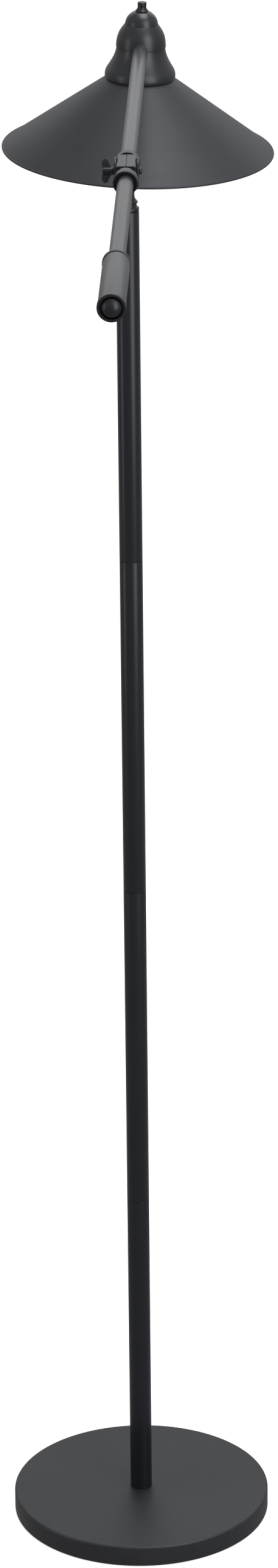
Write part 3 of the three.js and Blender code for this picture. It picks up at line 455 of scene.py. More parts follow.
def felt():
    pad = Finish("black_felt")
    fibre = pad.cloud(0.0006, detail=4.0, stretch=(1, 3, 1))
    colour = pad.between(fibre, (0.008, 0.008, 0.009), (0.03, 0.03, 0.032))
    return pad.surface(
        Base_Color=colour, Roughness=0.96, Sheen_Weight=0.3, Normal=pad.bump(fibre, 0.0004)
    )


zinc = zinc_plate()
refinish(zinc, "bottom_plate", "base_washer", "base_nut", "base_stud")
refinish(cast_iron(), "base_weight")
refinish(felt(), "base_pad")


# Cord gland: a small moulded rubber grommet in the base's far side, with an open bore and a lip
# outside that keeps it from being pushed in.
def moulded_rubber():
    rubber = Finish("moulded_rubber")
    bloom = rubber.cloud(0.002, detail=3.0)
    colour = rubber.between(bloom, (0.010, 0.010, 0.010), (0.022, 0.022, 0.022))
    return rubber.surface(
        Base_Color=colour, Roughness=0.62 + 0.2 * bloom, Normal=rubber.bump(bloom, 0.0001, 0.5)
    )


GLAND_BORE = 2.6
GLAND_TAIL = 138.3
GLAND_LIP = BASE_RADIUS + 0.3
gland = lathed([
    (GLAND_BORE, GLAND_TAIL, 0.3), (3.8, GLAND_TAIL, 0.4), (3.8, 140.0, 0.2), (3.5, 140.6),
    (3.5, GLAND_LIP, 0.2), (5.5, GLAND_LIP, 0.4), (5.2, GLAND_LIP + 1.3, 0.3),
    (4.4, GLAND_LIP + 2, 0.3), (GLAND_BORE, GLAND_LIP + 2, 0.5),
], 64)
gland.transform(gland_place)
piece("gland_grommet", gland, STANDING, moulded_rubber(), "stand", "cord_gland")


# Post: four steel tubes of one size, screwed end to end over inserts, in smooth satin powder
# coat. Each end is turned to a fine round edge, which leaves the three seams.
def satin_coat(name, low, high, rough, shine=0.3, coat_weight=0.0):
    coat = Finish(name)
    peel = coat.cloud(0.0035, detail=1.0)
    grain = coat.cloud(0.0006, detail=2.0)
    drift = coat.cloud(0.05, stretch=(1, 1, 3))
    colour = coat.between(0.55 * drift + 0.45 * grain, low, high)
    matt = rough - 0.05 + 0.08 * drift + 0.05 * grain
    relief = coat.bump(peel * 0.7 + 0.3 * grain, 0.00003, 0.5)
    return coat.surface(
        Base_Color=colour, Roughness=matt, Specular_IOR_Level=shine, Normal=relief,
        Coat_Weight=coat_weight, Coat_Roughness=0.18,
    )


POST_RADIUS = 12.7
POST_BORE = 11.2
post_coat = satin_coat(
    "post_satin_coat", (0.007, 0.008, 0.011), (0.012, 0.013, 0.018), rough=0.28, shine=0.42
)
for number in range(1, 5):
    node = f"post_section_{number}"
    foot, head = (1000 * corner.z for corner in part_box(node))
    tube = lathed([
        (POST_BORE, foot), (POST_RADIUS, foot, 0.35), (POST_RADIUS, head, 0.35), (POST_BORE, head),
    ], 128)
    piece(f"post_tube_{number}", tube, STANDING, post_coat, "stand", node)
refinish(zinc, "foot_insert", "post_coupler_1", "post_coupler_2", "post_coupler_3")

# Post head: a turned collar that plugs the top tube, with a thinner neck that the yoke's
# foot turns on.
fitting_coat = satin_coat(
    "fitting_satin_coat", (0.008, 0.0085, 0.010), (0.015, 0.0155, 0.018), rough=0.30, shine=0.35
)
SWIVEL_HOLE = 5.2
HEAD_PLUG = 10.9
NECK_RADIUS = 10.3
NECK_TALL = 4.4
plug_foot, neck_top = (1000 * corner.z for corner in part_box("post_head"))
neck_foot = neck_top - NECK_TALL
collar_foot = neck_foot - 4.4
head_piece = lathed([
    (SWIVEL_HOLE, plug_foot), (HEAD_PLUG, plug_foot, 0.5), (HEAD_PLUG, collar_foot),
    (POST_RADIUS - 1, collar_foot), (POST_RADIUS, collar_foot + 0.9, 0.3),
    (POST_RADIUS, neck_foot, 0.5), (NECK_RADIUS, neck_foot, 0.4), (NECK_RADIUS, neck_top, 0.4),
    (SWIVEL_HOLE, neck_top),
], 128)
piece(
    "post_head_turned", head_piece, STANDING, fitting_coat, "stand", "post_head"
)


# Yoke: one casting. A flared foot narrows to a stem and opens into a U with two round ears.
# It turns on the post head and its edges are rounded as cast.
def outline_arc(centre, radius, start, end, steps=16):
    sweep = [math.radians(start + (end - start) * i / steps) for i in range(steps + 1)]
    return [(centre[0] + radius * math.cos(a), centre[1] + radius * math.sin(a)) for a in sweep]


def slab(outline, axis, low, high):
    """An outline extruded in mm: along X it is drawn as (y, z), along Y as (x, z)."""
    ends = [low, high]
    verts = [(end, a, b) if axis == "X" else (a, end, b) for end in ends for a, b in outline]
    count = len(outline)
    sides = [(i, (i + 1) % count, (i + 1) % count + count, i + count) for i in range(count)]
    mesh = bpy.data.meshes.new("slab")
    mesh.from_pydata(verts, [], [list(range(count)), list(range(count, 2 * count)), *sides])
    outwards(mesh)
    return mesh


def cast(mesh, grid, softening):
    """Rebuilds a solid on a fine grid and eases its edges, as a casting's are."""
    body = set_up("casting", mesh)
    remesh = body.modifiers.new("grid", "REMESH")
    remesh.mode = "VOXEL"
    remesh.voxel_size = grid
    ease = body.modifiers.new("ease", "SMOOTH")
    ease.factor = 0.5
    ease.iterations = softening
    mesh = plain_mesh(body)
    bpy.data.objects.remove(body)
    return mesh


YOKE_FOOT = 1000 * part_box("yoke")[0].z
YOKE_UNDERSIDE = YOKE_FOOT + 12
YOKE_SEAT = YOKE_UNDERSIDE + 3.5
EAR_INNER = 10.8
EAR_OUTER = 13
EAR_RADIUS = 14.6
EAR_ROOM = 16
OUTER_BEND = 9
INNER_BEND = 3
PIVOT_HOLE = 3.2
STEM_HALF = 6.5
STEM_BORE = 5.3
STEM_WAIST = 7.9
STEM_FLARE = 11.6
ACROSS = Matrix.Rotation(math.pi / 2, 4, "Y")  # turns a height into a distance to the right
joints = {joint["name"]: joint for joint in frame["joints"]}
pivot = Vector(joints["arm_tilt"]["pos_m"])
tilt_height = 1000 * pivot.z
ear_top = tilt_height + EAR_ROOM
stem = lathed([
    (STEM_BORE, YOKE_FOOT), (STEM_FLARE, YOKE_FOOT, 0.5), (STEM_FLARE, YOKE_FOOT + 1.1, 0.5),
    (9.2, YOKE_FOOT + 3.7, 2), (STEM_WAIST, YOKE_FOOT + 6.6, 2), (STEM_WAIST, YOKE_UNDERSIDE + 2),
    (STEM_BORE, YOKE_UNDERSIDE + 2),
], 96)
front_view = (
    [(EAR_OUTER, ear_top)]
    + outline_arc((EAR_OUTER - OUTER_BEND, YOKE_UNDERSIDE + OUTER_BEND), OUTER_BEND, 0, -90)
    + outline_arc((OUTER_BEND - EAR_OUTER, YOKE_UNDERSIDE + OUTER_BEND), OUTER_BEND, -90, -180)
    + [(-EAR_OUTER, ear_top), (-EAR_INNER, ear_top)]
    + outline_arc((INNER_BEND - EAR_INNER, YOKE_SEAT + INNER_BEND), INNER_BEND, 180, 270)
    + outline_arc((EAR_INNER - INNER_BEND, YOKE_SEAT + INNER_BEND), INNER_BEND, 270, 360)
    + [(EAR_INNER, ear_top)]
)
side_view = (
    [(-STEM_HALF, YOKE_UNDERSIDE - 1), (STEM_HALF, YOKE_UNDERSIDE - 1), (STEM_HALF, YOKE_SEAT)]
    + outline_arc((0, tilt_height), EAR_RADIUS, -22.2, 202.2, 48)
    + [(-STEM_HALF, YOKE_SEAT)]
)
ear_holes = Matrix.Translation((0, 0, tilt_height)) @ ACROSS
yoke = carved(
    slab(front_view, "Y", -EAR_RADIUS - 1, EAR_RADIUS + 1),
    ("INTERSECT", slab(side_view, "X", -EAR_OUTER - 1, EAR_OUTER + 1)),
    ("UNION", stem),
    ("DIFFERENCE", round_bar(STEM_BORE, YOKE_FOOT - 1, YOKE_SEAT + 1, STANDING, 64)),
    ("DIFFERENCE", round_bar(PIVOT_HOLE, -20, 20, ear_holes, 64)),
)
yoke = cast(yoke, grid=0.34, softening=3)
piece("yoke_casting", yoke, STANDING, fitting_coat, "head", "yoke", crease=80)
refinish(zinc, "swivel_stud", "swivel_washer", "swivel_nut")

# Clamp: a cast block in two halves that meet on a seam along its flat top, with a round boss
# at each end. Its rounded cheeks turn inside the yoke when the arm tilts.
tilted = Vector(joints["arm_slide"]["axis"])
clamp_place = Matrix.Translation(pivot) @ Matrix.Rotation(math.asin(tilted.z), 4, "X")
BLOCK_HALF = 10.6
BLOCK_FRONT = 17
BLOCK_REAR = 25
BLOCK_TOP = 13
CHEEK = 15
BLOCK_BELLY = 10.6
BOSS_RADIUS = 11.2
BOSS_LENGTH = 5
BLOCK_BORE = 9.6
BELLY_BEND = 6
HALF_GAP = 0.15
SHANK_HOLE = 3.3
PAST_BLOCK = 40
cheek_start = math.degrees(math.asin(BLOCK_BELLY / CHEEK))
block_side = (
    [(-BLOCK_REAR, BLOCK_TOP - 0.8), (-BLOCK_REAR, -BLOCK_BELLY)]
    + outline_arc((0, 0), CHEEK, 180 + cheek_start, 360 - cheek_start, 32)
    + [(BLOCK_FRONT, -BLOCK_BELLY), (BLOCK_FRONT, BLOCK_TOP - 0.8)]
    + [(BLOCK_FRONT - 0.8, BLOCK_TOP), (0.8 - BLOCK_REAR, BLOCK_TOP)]
)
block_front = (
    [(BLOCK_HALF, BLOCK_TOP - 1.2), (BLOCK_HALF - 1.2, BLOCK_TOP)]
    + [(1.2 - BLOCK_HALF, BLOCK_TOP), (-BLOCK_HALF, BLOCK_TOP - 1.2)]
    + outline_arc((BELLY_BEND - BLOCK_HALF, BELLY_BEND - CHEEK), BELLY_BEND, 180, 270)
    + outline_arc((BLOCK_HALF - BELLY_BEND, BELLY_BEND - CHEEK), BELLY_BEND, 270, 360)
)
square = [(y * PAST_BLOCK, z * PAST_BLOCK) for y, z in ((-1, -1), (1, -1), (1, 1), (-1, 1))]
for side, node in ((-1, "clamp_half_left"), (1, "clamp_half_right")):
    near, far = sorted((side * HALF_GAP, side * PAST_BLOCK))
    half = carved(
        slab(block_side, "X", -BLOCK_HALF - 1, BLOCK_HALF + 1),
        ("INTERSECT", slab(block_front, "Y", -BLOCK_REAR - 1, BLOCK_FRONT + 1)),
        ("UNION", round_bar(BOSS_RADIUS, BLOCK_FRONT - 1, BLOCK_FRONT + BOSS_LENGTH, ALONG)),
        ("UNION", round_bar(BOSS_RADIUS, -BLOCK_REAR - BOSS_LENGTH, 1 - BLOCK_REAR, ALONG)),
        ("DIFFERENCE", round_bar(BLOCK_BORE, -PAST_BLOCK, PAST_BLOCK, ALONG)),
        ("DIFFERENCE", round_bar(SHANK_HOLE, -PAST_BLOCK, PAST_BLOCK, ACROSS, 48)),
        ("INTERSECT", slab(square, "X", near, far)),
    )
    half = cast(half, grid=0.3, softening=2)
    piece(
        f"{node}_cast", half, clamp_place, fitting_coat, "clamp", node, crease=80
    )

# Pivot screw and washer: a turned screw with a domed head on the right ear, whose plain shank
# ends in the clamp, and a flat washer that the wing screw bears on at the left ear.
SHANK_RADIUS = 3
SHANK_FROM = 9.9
EAR_FACE = EAR_OUTER + 0.3
pivot_head = lathed([
    (0, SHANK_FROM), (SHANK_RADIUS, SHANK_FROM, 0.4), (SHANK_RADIUS, EAR_FACE),
    (3.8, EAR_FACE, 0.2), (3.8, EAR_FACE + 1.3, 0.3), (3.3, EAR_FACE + 2.6, 0.9),
    (1.8, EAR_FACE + 3.3, 1.0), (0, EAR_FACE + 3.4),
], 64)
piece(
    "pivot_screw_turned", pivot_head, clamp_place @ ACROSS, fitting_coat, "clamp",
    "pivot_screw",
)
WASHER_RADIUS = 5.2
washer_ring = lathed([
    (SHANK_HOLE, EAR_FACE, 0.15), (WASHER_RADIUS, EAR_FACE, 0.2),
    (WASHER_RADIUS, EAR_FACE + 0.8, 0.2), (SHANK_HOLE, EAR_FACE + 0.8, 0.15),
], 64)
LEFTWARDS = Matrix.Rotation(-math.pi / 2, 4, "Y")
piece(
    "wing_washer_turned", washer_ring, clamp_place @ LEFTWARDS, fitting_coat, "clamp",
    "wing_washer",
)

# Wing screw: a cast hub on the left ear with two flat wings that grow out of it, one up and
# one down. It tightens the clamp on the arm.
def bezier(start, first, second, end, steps=14):
    """A cubic curve's points, without its end."""
    handles = (start, first, second, end)
    points = []
    for i in range(steps):
        t = i / steps
        weights = ((1 - t) ** 3, 3 * t * (1 - t) ** 2, 3 * t * t * (1 - t), t ** 3)
        points.append(tuple(
            sum(weight * handle[axis] for weight, handle in zip(weights, handles))
            for axis in (0, 1)
        ))
    return points


HUB_FROM = 14.4
HUB_TO = 26
WING_MIDDLE = HUB_FROM + 0.62 * (HUB_TO - HUB_FROM)
WING_SHEET = 2.4
WING_LEAN = math.radians(20)
HUB_RADIUS = 4.1
outer_root = (HUB_TO - 0.8, 0)
outer_shoulder = (HUB_TO - 0.4, 11)
inner_shoulder = (WING_MIDDLE - 2, 10)
inner_root = (HUB_FROM + 1.2, 0)
wing_edge = (
    bezier(outer_root, (HUB_TO, 4), (HUB_TO + 1.6, 7), outer_shoulder)
    + bezier(outer_shoulder, (HUB_TO - 1.6, 13.6), (WING_MIDDLE - 1.5, 13.6), inner_shoulder)
    + bezier(inner_shoulder, (WING_MIDDLE - 2.4, 7), (HUB_FROM + 1.2, 5), inner_root)
)
wing_outline = [(-inner_root[0], 0)] + [(-x, y) for x, y in wing_edge]
hub = lathed([
    (0, SHANK_FROM), (SHANK_RADIUS, SHANK_FROM), (SHANK_RADIUS, HUB_FROM),
    (HUB_RADIUS, HUB_FROM, 0.3), (HUB_RADIUS, HUB_TO - 0.6), (3.2, HUB_TO, 0.5), (0, HUB_TO),
], 64)
hub.transform(LEFTWARDS)
wings = []
for side in (0, 1):
    wing = slab(wing_outline, "Y", -WING_SHEET / 2, WING_SHEET / 2)
    wing.transform(Matrix.Rotation(side * math.pi - WING_LEAN, 4, "X"))
    wings.append(("UNION", wing))
wing_screw = cast(carved(hub, *wings), grid=0.22, softening=4)
piece(
    "wing_screw_cast", wing_screw, clamp_place, fitting_coat, "wing", "wing_screw",
    crease=80,
)

# Collars and liner: turned rings that cap the clamp's bosses and roll with the arm, with a
# wide mouth round the tube. The liner is a thin nylon sleeve that the arm slides in.
shade_up = Vector(joints["switch_turn"]["axis"])
arm_right = tilted.cross(shade_up).normalized()
arm_turn = Matrix((arm_right, tilted, arm_right.cross(tilted))).transposed().to_4x4()
arm_place = Matrix.Translation(pivot) @ arm_turn
BACKWARDS = Matrix.Rotation(math.pi / 2, 4, "X")
COLLAR_RADIUS = 13.4
COLLAR_BORE = 9.7
MOUTH_RADIUS = 11.6
MOUTH_DEPTH = 4
for node, block_end, length, turn in (
    ("collar_front", BLOCK_FRONT, 11, ALONG), ("collar_rear", BLOCK_REAR, 13, BACKWARDS),
):
    low = block_end + BOSS_LENGTH + 0.2
    high = low + length
    collar = lathed([
        (COLLAR_BORE, low), (COLLAR_RADIUS, low, 0.6), (COLLAR_RADIUS, high, 0.8),
        (MOUTH_RADIUS, high, 0.4), (MOUTH_RADIUS, high - MOUTH_DEPTH),
        (COLLAR_BORE, high - MOUTH_DEPTH, 0.1),
    ], 96)
    piece(f"{node}_turned", collar, arm_place @ turn, fitting_coat, "liner", node)


def black_nylon():
    nylon = Finish("black_nylon")
    flow = nylon.cloud(0.006, detail=2.0)
    colour = nylon.between(flow, (0.006, 0.006, 0.007), (0.014, 0.014, 0.015))
    return nylon.surface(Base_Color=colour, Roughness=0.4 + 0.12 * flow)


refinish(black_nylon(), "clamp_liner")


# Arm: a straight steel tube in smooth semi-gloss black coat, its colour painted a little lighter
# than the post's as a painted sheen. Its front end is shaped to the bell's side and its back end
# carries the counterweight.
ARM_RADIUS = 8.6
ARM_BORE = 7.4
ARM_REACH = 476
ARM_REAR = -427
GAP = 0.3  # what fitted pieces keep between them
shade_origin = Vector(joints["switch_turn"]["pos_m"])
shade_turn = Matrix((arm_right, shade_up.cross(arm_right), shade_up)).transposed().to_4x4()
shade_place = Matrix.Translation(shade_origin) @ shade_turn
arm_to_shade = arm_place.inverted() @ shade_place
shade_in_arm = Matrix.Translation(arm_to_shade.translation * 1000) @ arm_to_shade.to_3x3().to_4x4()

# The cone's and the bell's sizes, because the arm's front end is cut to the bell.
SHEET = 0.8
RIM_RADIUS = 160.86
RIM_BEAD = 1.4
CONE_TOP = 33.6
CONE_HEIGHT = 91.8
bead_centre = RIM_RADIUS - RIM_BEAD
cone_run = bead_centre - CONE_TOP
cone_rise = CONE_HEIGHT - RIM_BEAD
wall_lean = math.asin(SHEET / 2 / math.hypot(cone_run, cone_rise))
cone_fall = math.atan2(cone_rise, cone_run) - wall_lean
cone_slope = 1 / math.tan(cone_fall)
cone_foot = CONE_TOP + cone_slope * CONE_HEIGHT

SKIRT = 40.9
BELL_BODY = 29.2
BELL_WAIST = 28.6
BELL_NECK = 19.3
BELL_CROWN = 8.6
BELL_HEIGHT = 78
BELL_WALL = 1
ARM_JOIN_HEIGHT = 38.1
FACET_HALF = math.pi / 24  # the CAD bell's flats cut inside its round skirt
bell_foot = (cone_foot - (SKIRT - BELL_WALL) * math.cos(FACET_HALF)) / cone_slope + GAP
bell_top = bell_foot + BELL_HEIGHT
arm_join = bell_foot + ARM_JOIN_HEIGHT


def up_bell(share):
    return bell_foot + share * BELL_HEIGHT


def curved(start, middle, end, steps=14):
    """A quadratic curve, written as the cubic that follows it."""
    first = tuple(s + 2 / 3 * (m - s) for s, m in zip(start, middle))
    second = tuple(e + 2 / 3 * (m - e) for e, m in zip(end, middle))
    return bezier(start, first, second, end, steps)


bell_line = (
    curved((SKIRT, bell_foot), (SKIRT + 1.3, up_bell(0.043)), (SKIRT - 0.3, up_bell(0.112)))
    + bezier(
        (SKIRT - 0.3, up_bell(0.112)), (SKIRT - 2.4, up_bell(0.176)),
        (BELL_WAIST + 0.6, up_bell(0.309)), (BELL_WAIST, up_bell(0.471)),
    )
    + [(BELL_WAIST, up_bell(0.471))]
    + bezier(
        (BELL_BODY, up_bell(0.479)), (BELL_BODY - 0.4, up_bell(0.626)),
        (BELL_BODY - 2.7, up_bell(0.692)), (BELL_NECK + 2, up_bell(0.78)),
    )
    + [(BELL_NECK + 2, up_bell(0.78))]
    + bezier(
        (BELL_NECK, up_bell(0.813)), (BELL_NECK - 0.7, up_bell(0.921)),
        (BELL_CROWN + 4, up_bell(0.979)), (BELL_CROWN, bell_top),
    )
    + [(BELL_CROWN, bell_top)]
)


def beside(line, distance):
    """A line's points moved square to it, to its left."""
    moved = []
    for i, (x, y) in enumerate(line):
        before = line[max(i - 1, 0)]
        after = line[min(i + 1, len(line) - 1)]
        run = math.hypot(after[0] - before[0], after[1] - before[1])
        across, up = ((after[axis] - before[axis]) / run * distance for axis in (0, 1))
        moved.append((x - up, y + across))
    return moved


bell_skin = beside(bell_line, -GAP)
bell_space = turned([(0, bell_skin[0][1]), *bell_skin, (0, bell_skin[-1][1])], 96)
bell_space.transform(shade_in_arm)
# The arm's black is painted lighter than the post's: a painted sheen for the grazing reflection
# along it.
arm_coat = satin_coat(
    "arm_coat_lightened_for_painted_sheen", (0.026, 0.026, 0.027), (0.038, 0.038, 0.040),
    rough=0.32, shine=0.45, coat_weight=0.2,
)
arm_tube = lathed([
    (ARM_BORE, ARM_REAR), (ARM_RADIUS, ARM_REAR, 0.3),
    (ARM_RADIUS, ARM_REACH), (ARM_BORE, ARM_REACH),
], 96)
arm_tube.transform(ALONG)
arm_tube = carved(arm_tube, ("DIFFERENCE", bell_space))
piece("arm_tube_drawn", arm_tube, arm_place, arm_coat, "arm", "arm_tube")
refinish(zinc, "arm_insert", "shade_nipple", "nipple_nut")

# Counterweight: a turned steel sleeve on the back of the arm between two black rings, held by
# a socket set screw from below. A domed plug sits in the dark mouth of the rear ring.
# The sleeve's black is painted lighter than the post's: a painted sheen for the grazing reflection
# along it.
weight_coat = satin_coat(
    "weight_coat_lightened_for_painted_sheen", (0.022, 0.022, 0.023), (0.030, 0.030, 0.032),
    rough=0.34, shine=0.42, coat_weight=0.05,
)
WEIGHT_FROM = -423
WEIGHT_TO = -301.6
WEIGHT_RADIUS = 13.9
WEIGHT_BORE = 8.9
RING_RADIUS = 14.5
RING_MOUTH = 11.7
SET_SCREW_HOLE = 2.8
weight_body = lathed([
    (WEIGHT_BORE, WEIGHT_FROM), (WEIGHT_RADIUS, WEIGHT_FROM, 0.3),
    (WEIGHT_RADIUS, WEIGHT_TO, 0.3), (WEIGHT_BORE, WEIGHT_TO),
], 128)
weight_body.transform(ALONG)
screw_middle = (WEIGHT_FROM + WEIGHT_TO) / 2
screw_place = Matrix.Translation((0, screw_middle, 0))
screw_cut = round_bar(SET_SCREW_HOLE, -20, 0, screw_place, 48)
weight_body = carved(weight_body, ("DIFFERENCE", screw_cut))
piece(
    "counterweight_sleeve", weight_body, arm_place, weight_coat, "arm",
    "counterweight",
)
front_end = WEIGHT_TO + 4.6
front_ring = lathed([
    (WEIGHT_BORE, WEIGHT_TO + GAP), (RING_RADIUS, WEIGHT_TO + GAP, 0.5),
    (RING_RADIUS, front_end, 0.9), (WEIGHT_BORE, front_end, 0.2),
], 128)
rear_end = WEIGHT_FROM - 8
mouth_floor = WEIGHT_FROM - 2.8
rear_ring = lathed([
    (RING_MOUTH, rear_end, 0.4), (RING_RADIUS, rear_end, 0.8),
    (RING_RADIUS, WEIGHT_FROM - GAP, 0.5), (WEIGHT_BORE, WEIGHT_FROM - GAP),
    (WEIGHT_BORE, mouth_floor), (RING_MOUTH, mouth_floor, 0.4),
], 128)
PLUG_RADIUS = 10
PLUG_DOME = 6.4
PLUG_FLANGE = 3
PLUG_STEM = 7.1
plug_face = ARM_REAR - GAP
plug_back = plug_face - PLUG_FLANGE
dome_radius = (PLUG_RADIUS ** 2 + PLUG_DOME ** 2) / 2 / PLUG_DOME
dome_centre = plug_back - PLUG_DOME + dome_radius
dome_edge = math.degrees(math.asin(PLUG_RADIUS / dome_radius))
dome = outline_arc((0, dome_centre), dome_radius, -90, -90 + dome_edge, 12)
end_plug = lathed([
    (0, dome[0][1]), *dome[1:-1], (PLUG_RADIUS, plug_back, 0.3), (PLUG_RADIUS, plug_face, 0.4),
    (PLUG_STEM, plug_face), (PLUG_STEM, plug_face + 16, 0.5), (0, plug_face + 16),
], 96)
for name, mesh, node in (
    ("front_ring_turned", front_ring, "weight_ring_front"),
    ("rear_ring_turned", rear_ring, "weight_ring_rear"),
    ("end_plug_domed", end_plug, "arm_end_plug"),
):
    piece(name, mesh, arm_place @ ALONG, fitting_coat, "arm", node)
SET_SCREW_RADIUS = 2.5
SET_SCREW_HEAD = -13.3
HEX_CORNER = 1.443
set_screw = lathed([
    (0, SET_SCREW_HEAD), (SET_SCREW_RADIUS, SET_SCREW_HEAD, 0.3),
    (SET_SCREW_RADIUS, -WEIGHT_BORE, 0.3), (0, -WEIGHT_BORE),
], 48)
hex_socket = round_bar(HEX_CORNER, SET_SCREW_HEAD - 1.7, SET_SCREW_HEAD + 2, STANDING, 6)
set_screw = carved(set_screw, ("DIFFERENCE", hex_socket))
set_screw.transform(screw_place)
piece("set_screw_socket", set_screw, arm_place, zinc, "arm", "weight_set_screw")

# Bell cap: a spun bell with a soft upper bump, a rounded body that ends in a crisp ledge, and
# a flared skirt with a rolled foot. The arm's nipple passes through its side.
bell_coat = satin_coat(
    "bell_satin_coat", (0.010, 0.0105, 0.013), (0.018, 0.0185, 0.023), rough=0.32, shine=0.5
)
SPINDLE_HOLE = 4.6
NIPPLE_HOLE = 5.4
bell_inside = beside(bell_line, BELL_WALL)[::-1]
bell_mouth = [(SPINDLE_HOLE, bell_top), (SPINDLE_HOLE, bell_top - BELL_WALL)]
bell = turned([*bell_line, *bell_mouth, *bell_inside], 192)
lean = Matrix.Rotation(math.asin(arm_to_shade.to_3x3().col[2].y), 4, "X")
nipple_place = Matrix.Translation((0, 0, arm_join)) @ lean @ ALONG
bell = carved(bell, ("DIFFERENCE", round_bar(NIPPLE_HOLE, -70, 0, nipple_place, 48)))
piece("bell_spun", bell, shade_place, bell_coat, "arm", "bell_cap", crease=28)


# Shade: a spun aluminium cone with a small rolled rim, in matt black powder coat. Very faint
# spinning rings show through the coat, and its inside is the same black.
def spun_coat():
    coat = Finish("shade_matt_coat")
    grain = coat.cloud(0.0007, detail=2.0)
    drift = coat.cloud(0.06)
    rings = coat.cloud(0.0035, detail=2.0, stretch=(40, 40, 1))
    tone = 0.6 * drift + 0.4 * grain
    colour = coat.between(tone, (0.015, 0.0155, 0.018), (0.027, 0.0275, 0.031))
    relief = coat.bump(0.8 * grain + 0.12 * rings, 0.00007, 0.7)
    rough = 0.42 + 0.1 * drift + 0.05 * rings
    return coat.surface(Base_Color=colour, Roughness=rough, Specular_IOR_Level=0.35, Normal=relief)


HOLDER_HOLE = 20.5
cone_ceiling = CONE_HEIGHT - SHEET
meet = 180 - math.degrees(cone_fall)
half_meet = math.degrees(math.asin(SHEET / 2 / RIM_BEAD))
inner_top = CONE_TOP - SHEET * (math.hypot(1, cone_slope) - cone_slope)
bead_from, bead_to = meet + half_meet, meet - half_meet + 360
rolled = outline_arc((bead_centre, RIM_BEAD), RIM_BEAD, bead_from, bead_to, 20)
cone = lathed([
    *rolled, (CONE_TOP, CONE_HEIGHT, 0.5), (HOLDER_HOLE, CONE_HEIGHT),
    (HOLDER_HOLE, cone_ceiling), (inner_top, cone_ceiling, 0.3),
], 256)
piece("shade_spun", cone, shade_place, spun_coat(), "arm", "shade_cone")

# Switch knob: a small turned knob with a flared foot and a rounded waist, on the bell's top. Its
# spindle goes down through the bell to the switch inside.
SPINDLE_RADIUS = 2.4
SPINDLE_LENGTH = 20.6
KNOB_STEP = 4.4
KNOB_HEIGHT = 10.6
step_top = bell_top + 2.1
knob_foot = bell_top + 0.5
knob_top = knob_foot + KNOB_HEIGHT
knob = lathed([
    (0, bell_top - SPINDLE_LENGTH), (SPINDLE_RADIUS, bell_top - SPINDLE_LENGTH, 0.3),
    (SPINDLE_RADIUS, step_top), (KNOB_STEP, step_top), (KNOB_STEP, knob_foot),
    (7.6, knob_foot, 0.3), (7.6, knob_foot + 0.8, 0.4), (6.0, knob_foot + 2.2, 1.0),
    (5.0, knob_foot + 4.4, 2.0), (5.35, knob_top, 1.2), (0, knob_top),
], 96)
piece("switch_knob_turned", knob, shade_place, fitting_coat, "knob", "switch_knob")


# Lampholder: a moulded black phenolic body, hung by one screw from a zinc bracket on the arm's
# nipple. Its shoulder rests on the cone, and a ribbed ring nut pulls it tight from below.
class Pattern(Wiring):
    """A Geometry Nodes tree with named inputs, which ends in real faces with their finish."""

    def __init__(self, name, **inputs):
        self.tree = bpy.data.node_groups.new(name, "GeometryNodeTree")
        interface = self.tree.interface
        interface.new_socket("Geometry", in_out="OUTPUT", socket_type="NodeSocketGeometry")
        entry = self.tree.nodes.new("NodeGroupInput")
        self.labels = {}
        for label, kind in inputs.items():
            socket = interface.new_socket(label, in_out="INPUT", socket_type="NodeSocket" + kind)
            self.labels[label] = socket.identifier
        self.given = {label: Reading(self.tree, entry.outputs[label]) for label in inputs}

    def finish(self, faces):
        faces = self.node("GeometryNodeRealizeInstances", {}, {"Geometry": faces})
        sockets = {"Geometry": faces, "Material": self.given["Finish"]}
        faces = self.node("GeometryNodeSetMaterial", {}, sockets)
        self.node("NodeGroupOutput", {}, {"Geometry": faces})

    def grown(self, mesh, **values):
        """What the tree makes of a mesh, as a plain mesh."""
        thing = set_up("grown", mesh)
        pattern = thing.modifiers.new("pattern", "NODES")
        pattern.node_group = self.tree
        for label, value in values.items():
            pattern[self.labels[label]] = value
        result = plain_mesh(thing)
        bpy.data.objects.remove(thing)
        return result


def rolled_thread():
    """Swells a turned skin in and out so that a thread of one start winds up it."""
    thread = Pattern(
        "rolled_thread", Geometry="Geometry", Pitch="Float", Depth="Float", From="Float",
        To="Float", Finish="Material",
    )
    place = thread.node("GeometryNodeInputPosition", {}, {})
    x, y, z = (thread.node("ShaderNodeSeparateXYZ", {}, {"Vector": place}, i) for i in range(3))
    angle = thread.node("ShaderNodeMath", {"operation": "ARCTAN2"}, {0: y, 1: x})
    winding = 2 * math.pi * (z / thread.given["Pitch"]) - angle
    wave = thread.node("ShaderNodeMath", {"operation": "SINE"}, {0: winding})
    ends = 1
    for end, away in (("From", 1), ("To", -1)):
        inside = away * (z - thread.given[end])
        ends = ends * thread.node("ShaderNodeClamp", {}, {"Value": inside})
    outward = thread.node("ShaderNodeCombineXYZ", {}, {"X": x, "Y": y})
    outward = thread.node("ShaderNodeVectorMath", {"operation": "NORMALIZE"}, {0: outward})
    swell = thread.node(
        "ShaderNodeVectorMath", {"operation": "SCALE"},
        {0: outward, "Scale": (wave - 1) * 0.5 * thread.given["Depth"] * ends},
    )
    thread.finish(thread.node(
        "GeometryNodeSetPosition", {}, {"Geometry": thread.given["Geometry"], "Offset": swell}
    ))
    return thread


def rib_ring():
    """Round bars stood in a ring, for the grip on a nut."""
    ribs = Pattern(
        "rib_ring", Count="Int", Radius="Float", Thickness="Float", Tall="Float", Finish="Material"
    )
    ring = ribs.node(
        "GeometryNodeMeshCircle", {},
        {"Vertices": ribs.given["Count"], "Radius": ribs.given["Radius"]},
    )
    bar = ribs.node(
        "GeometryNodeMeshCylinder", {},
        {"Vertices": 12, "Radius": ribs.given["Thickness"], "Depth": ribs.given["Tall"]},
    )
    ribs.finish(ribs.node("GeometryNodeInstanceOnPoints", {}, {"Points": ring, "Instance": bar}))
    return ribs


def rungs(radius, low, high, step=0.4):
    """Closely spaced points up a straight side, for a thread to swell."""
    count = max(2, round((high - low) / step))
    return [(radius, low + (high - low) * i / count) for i in range(count + 1)]


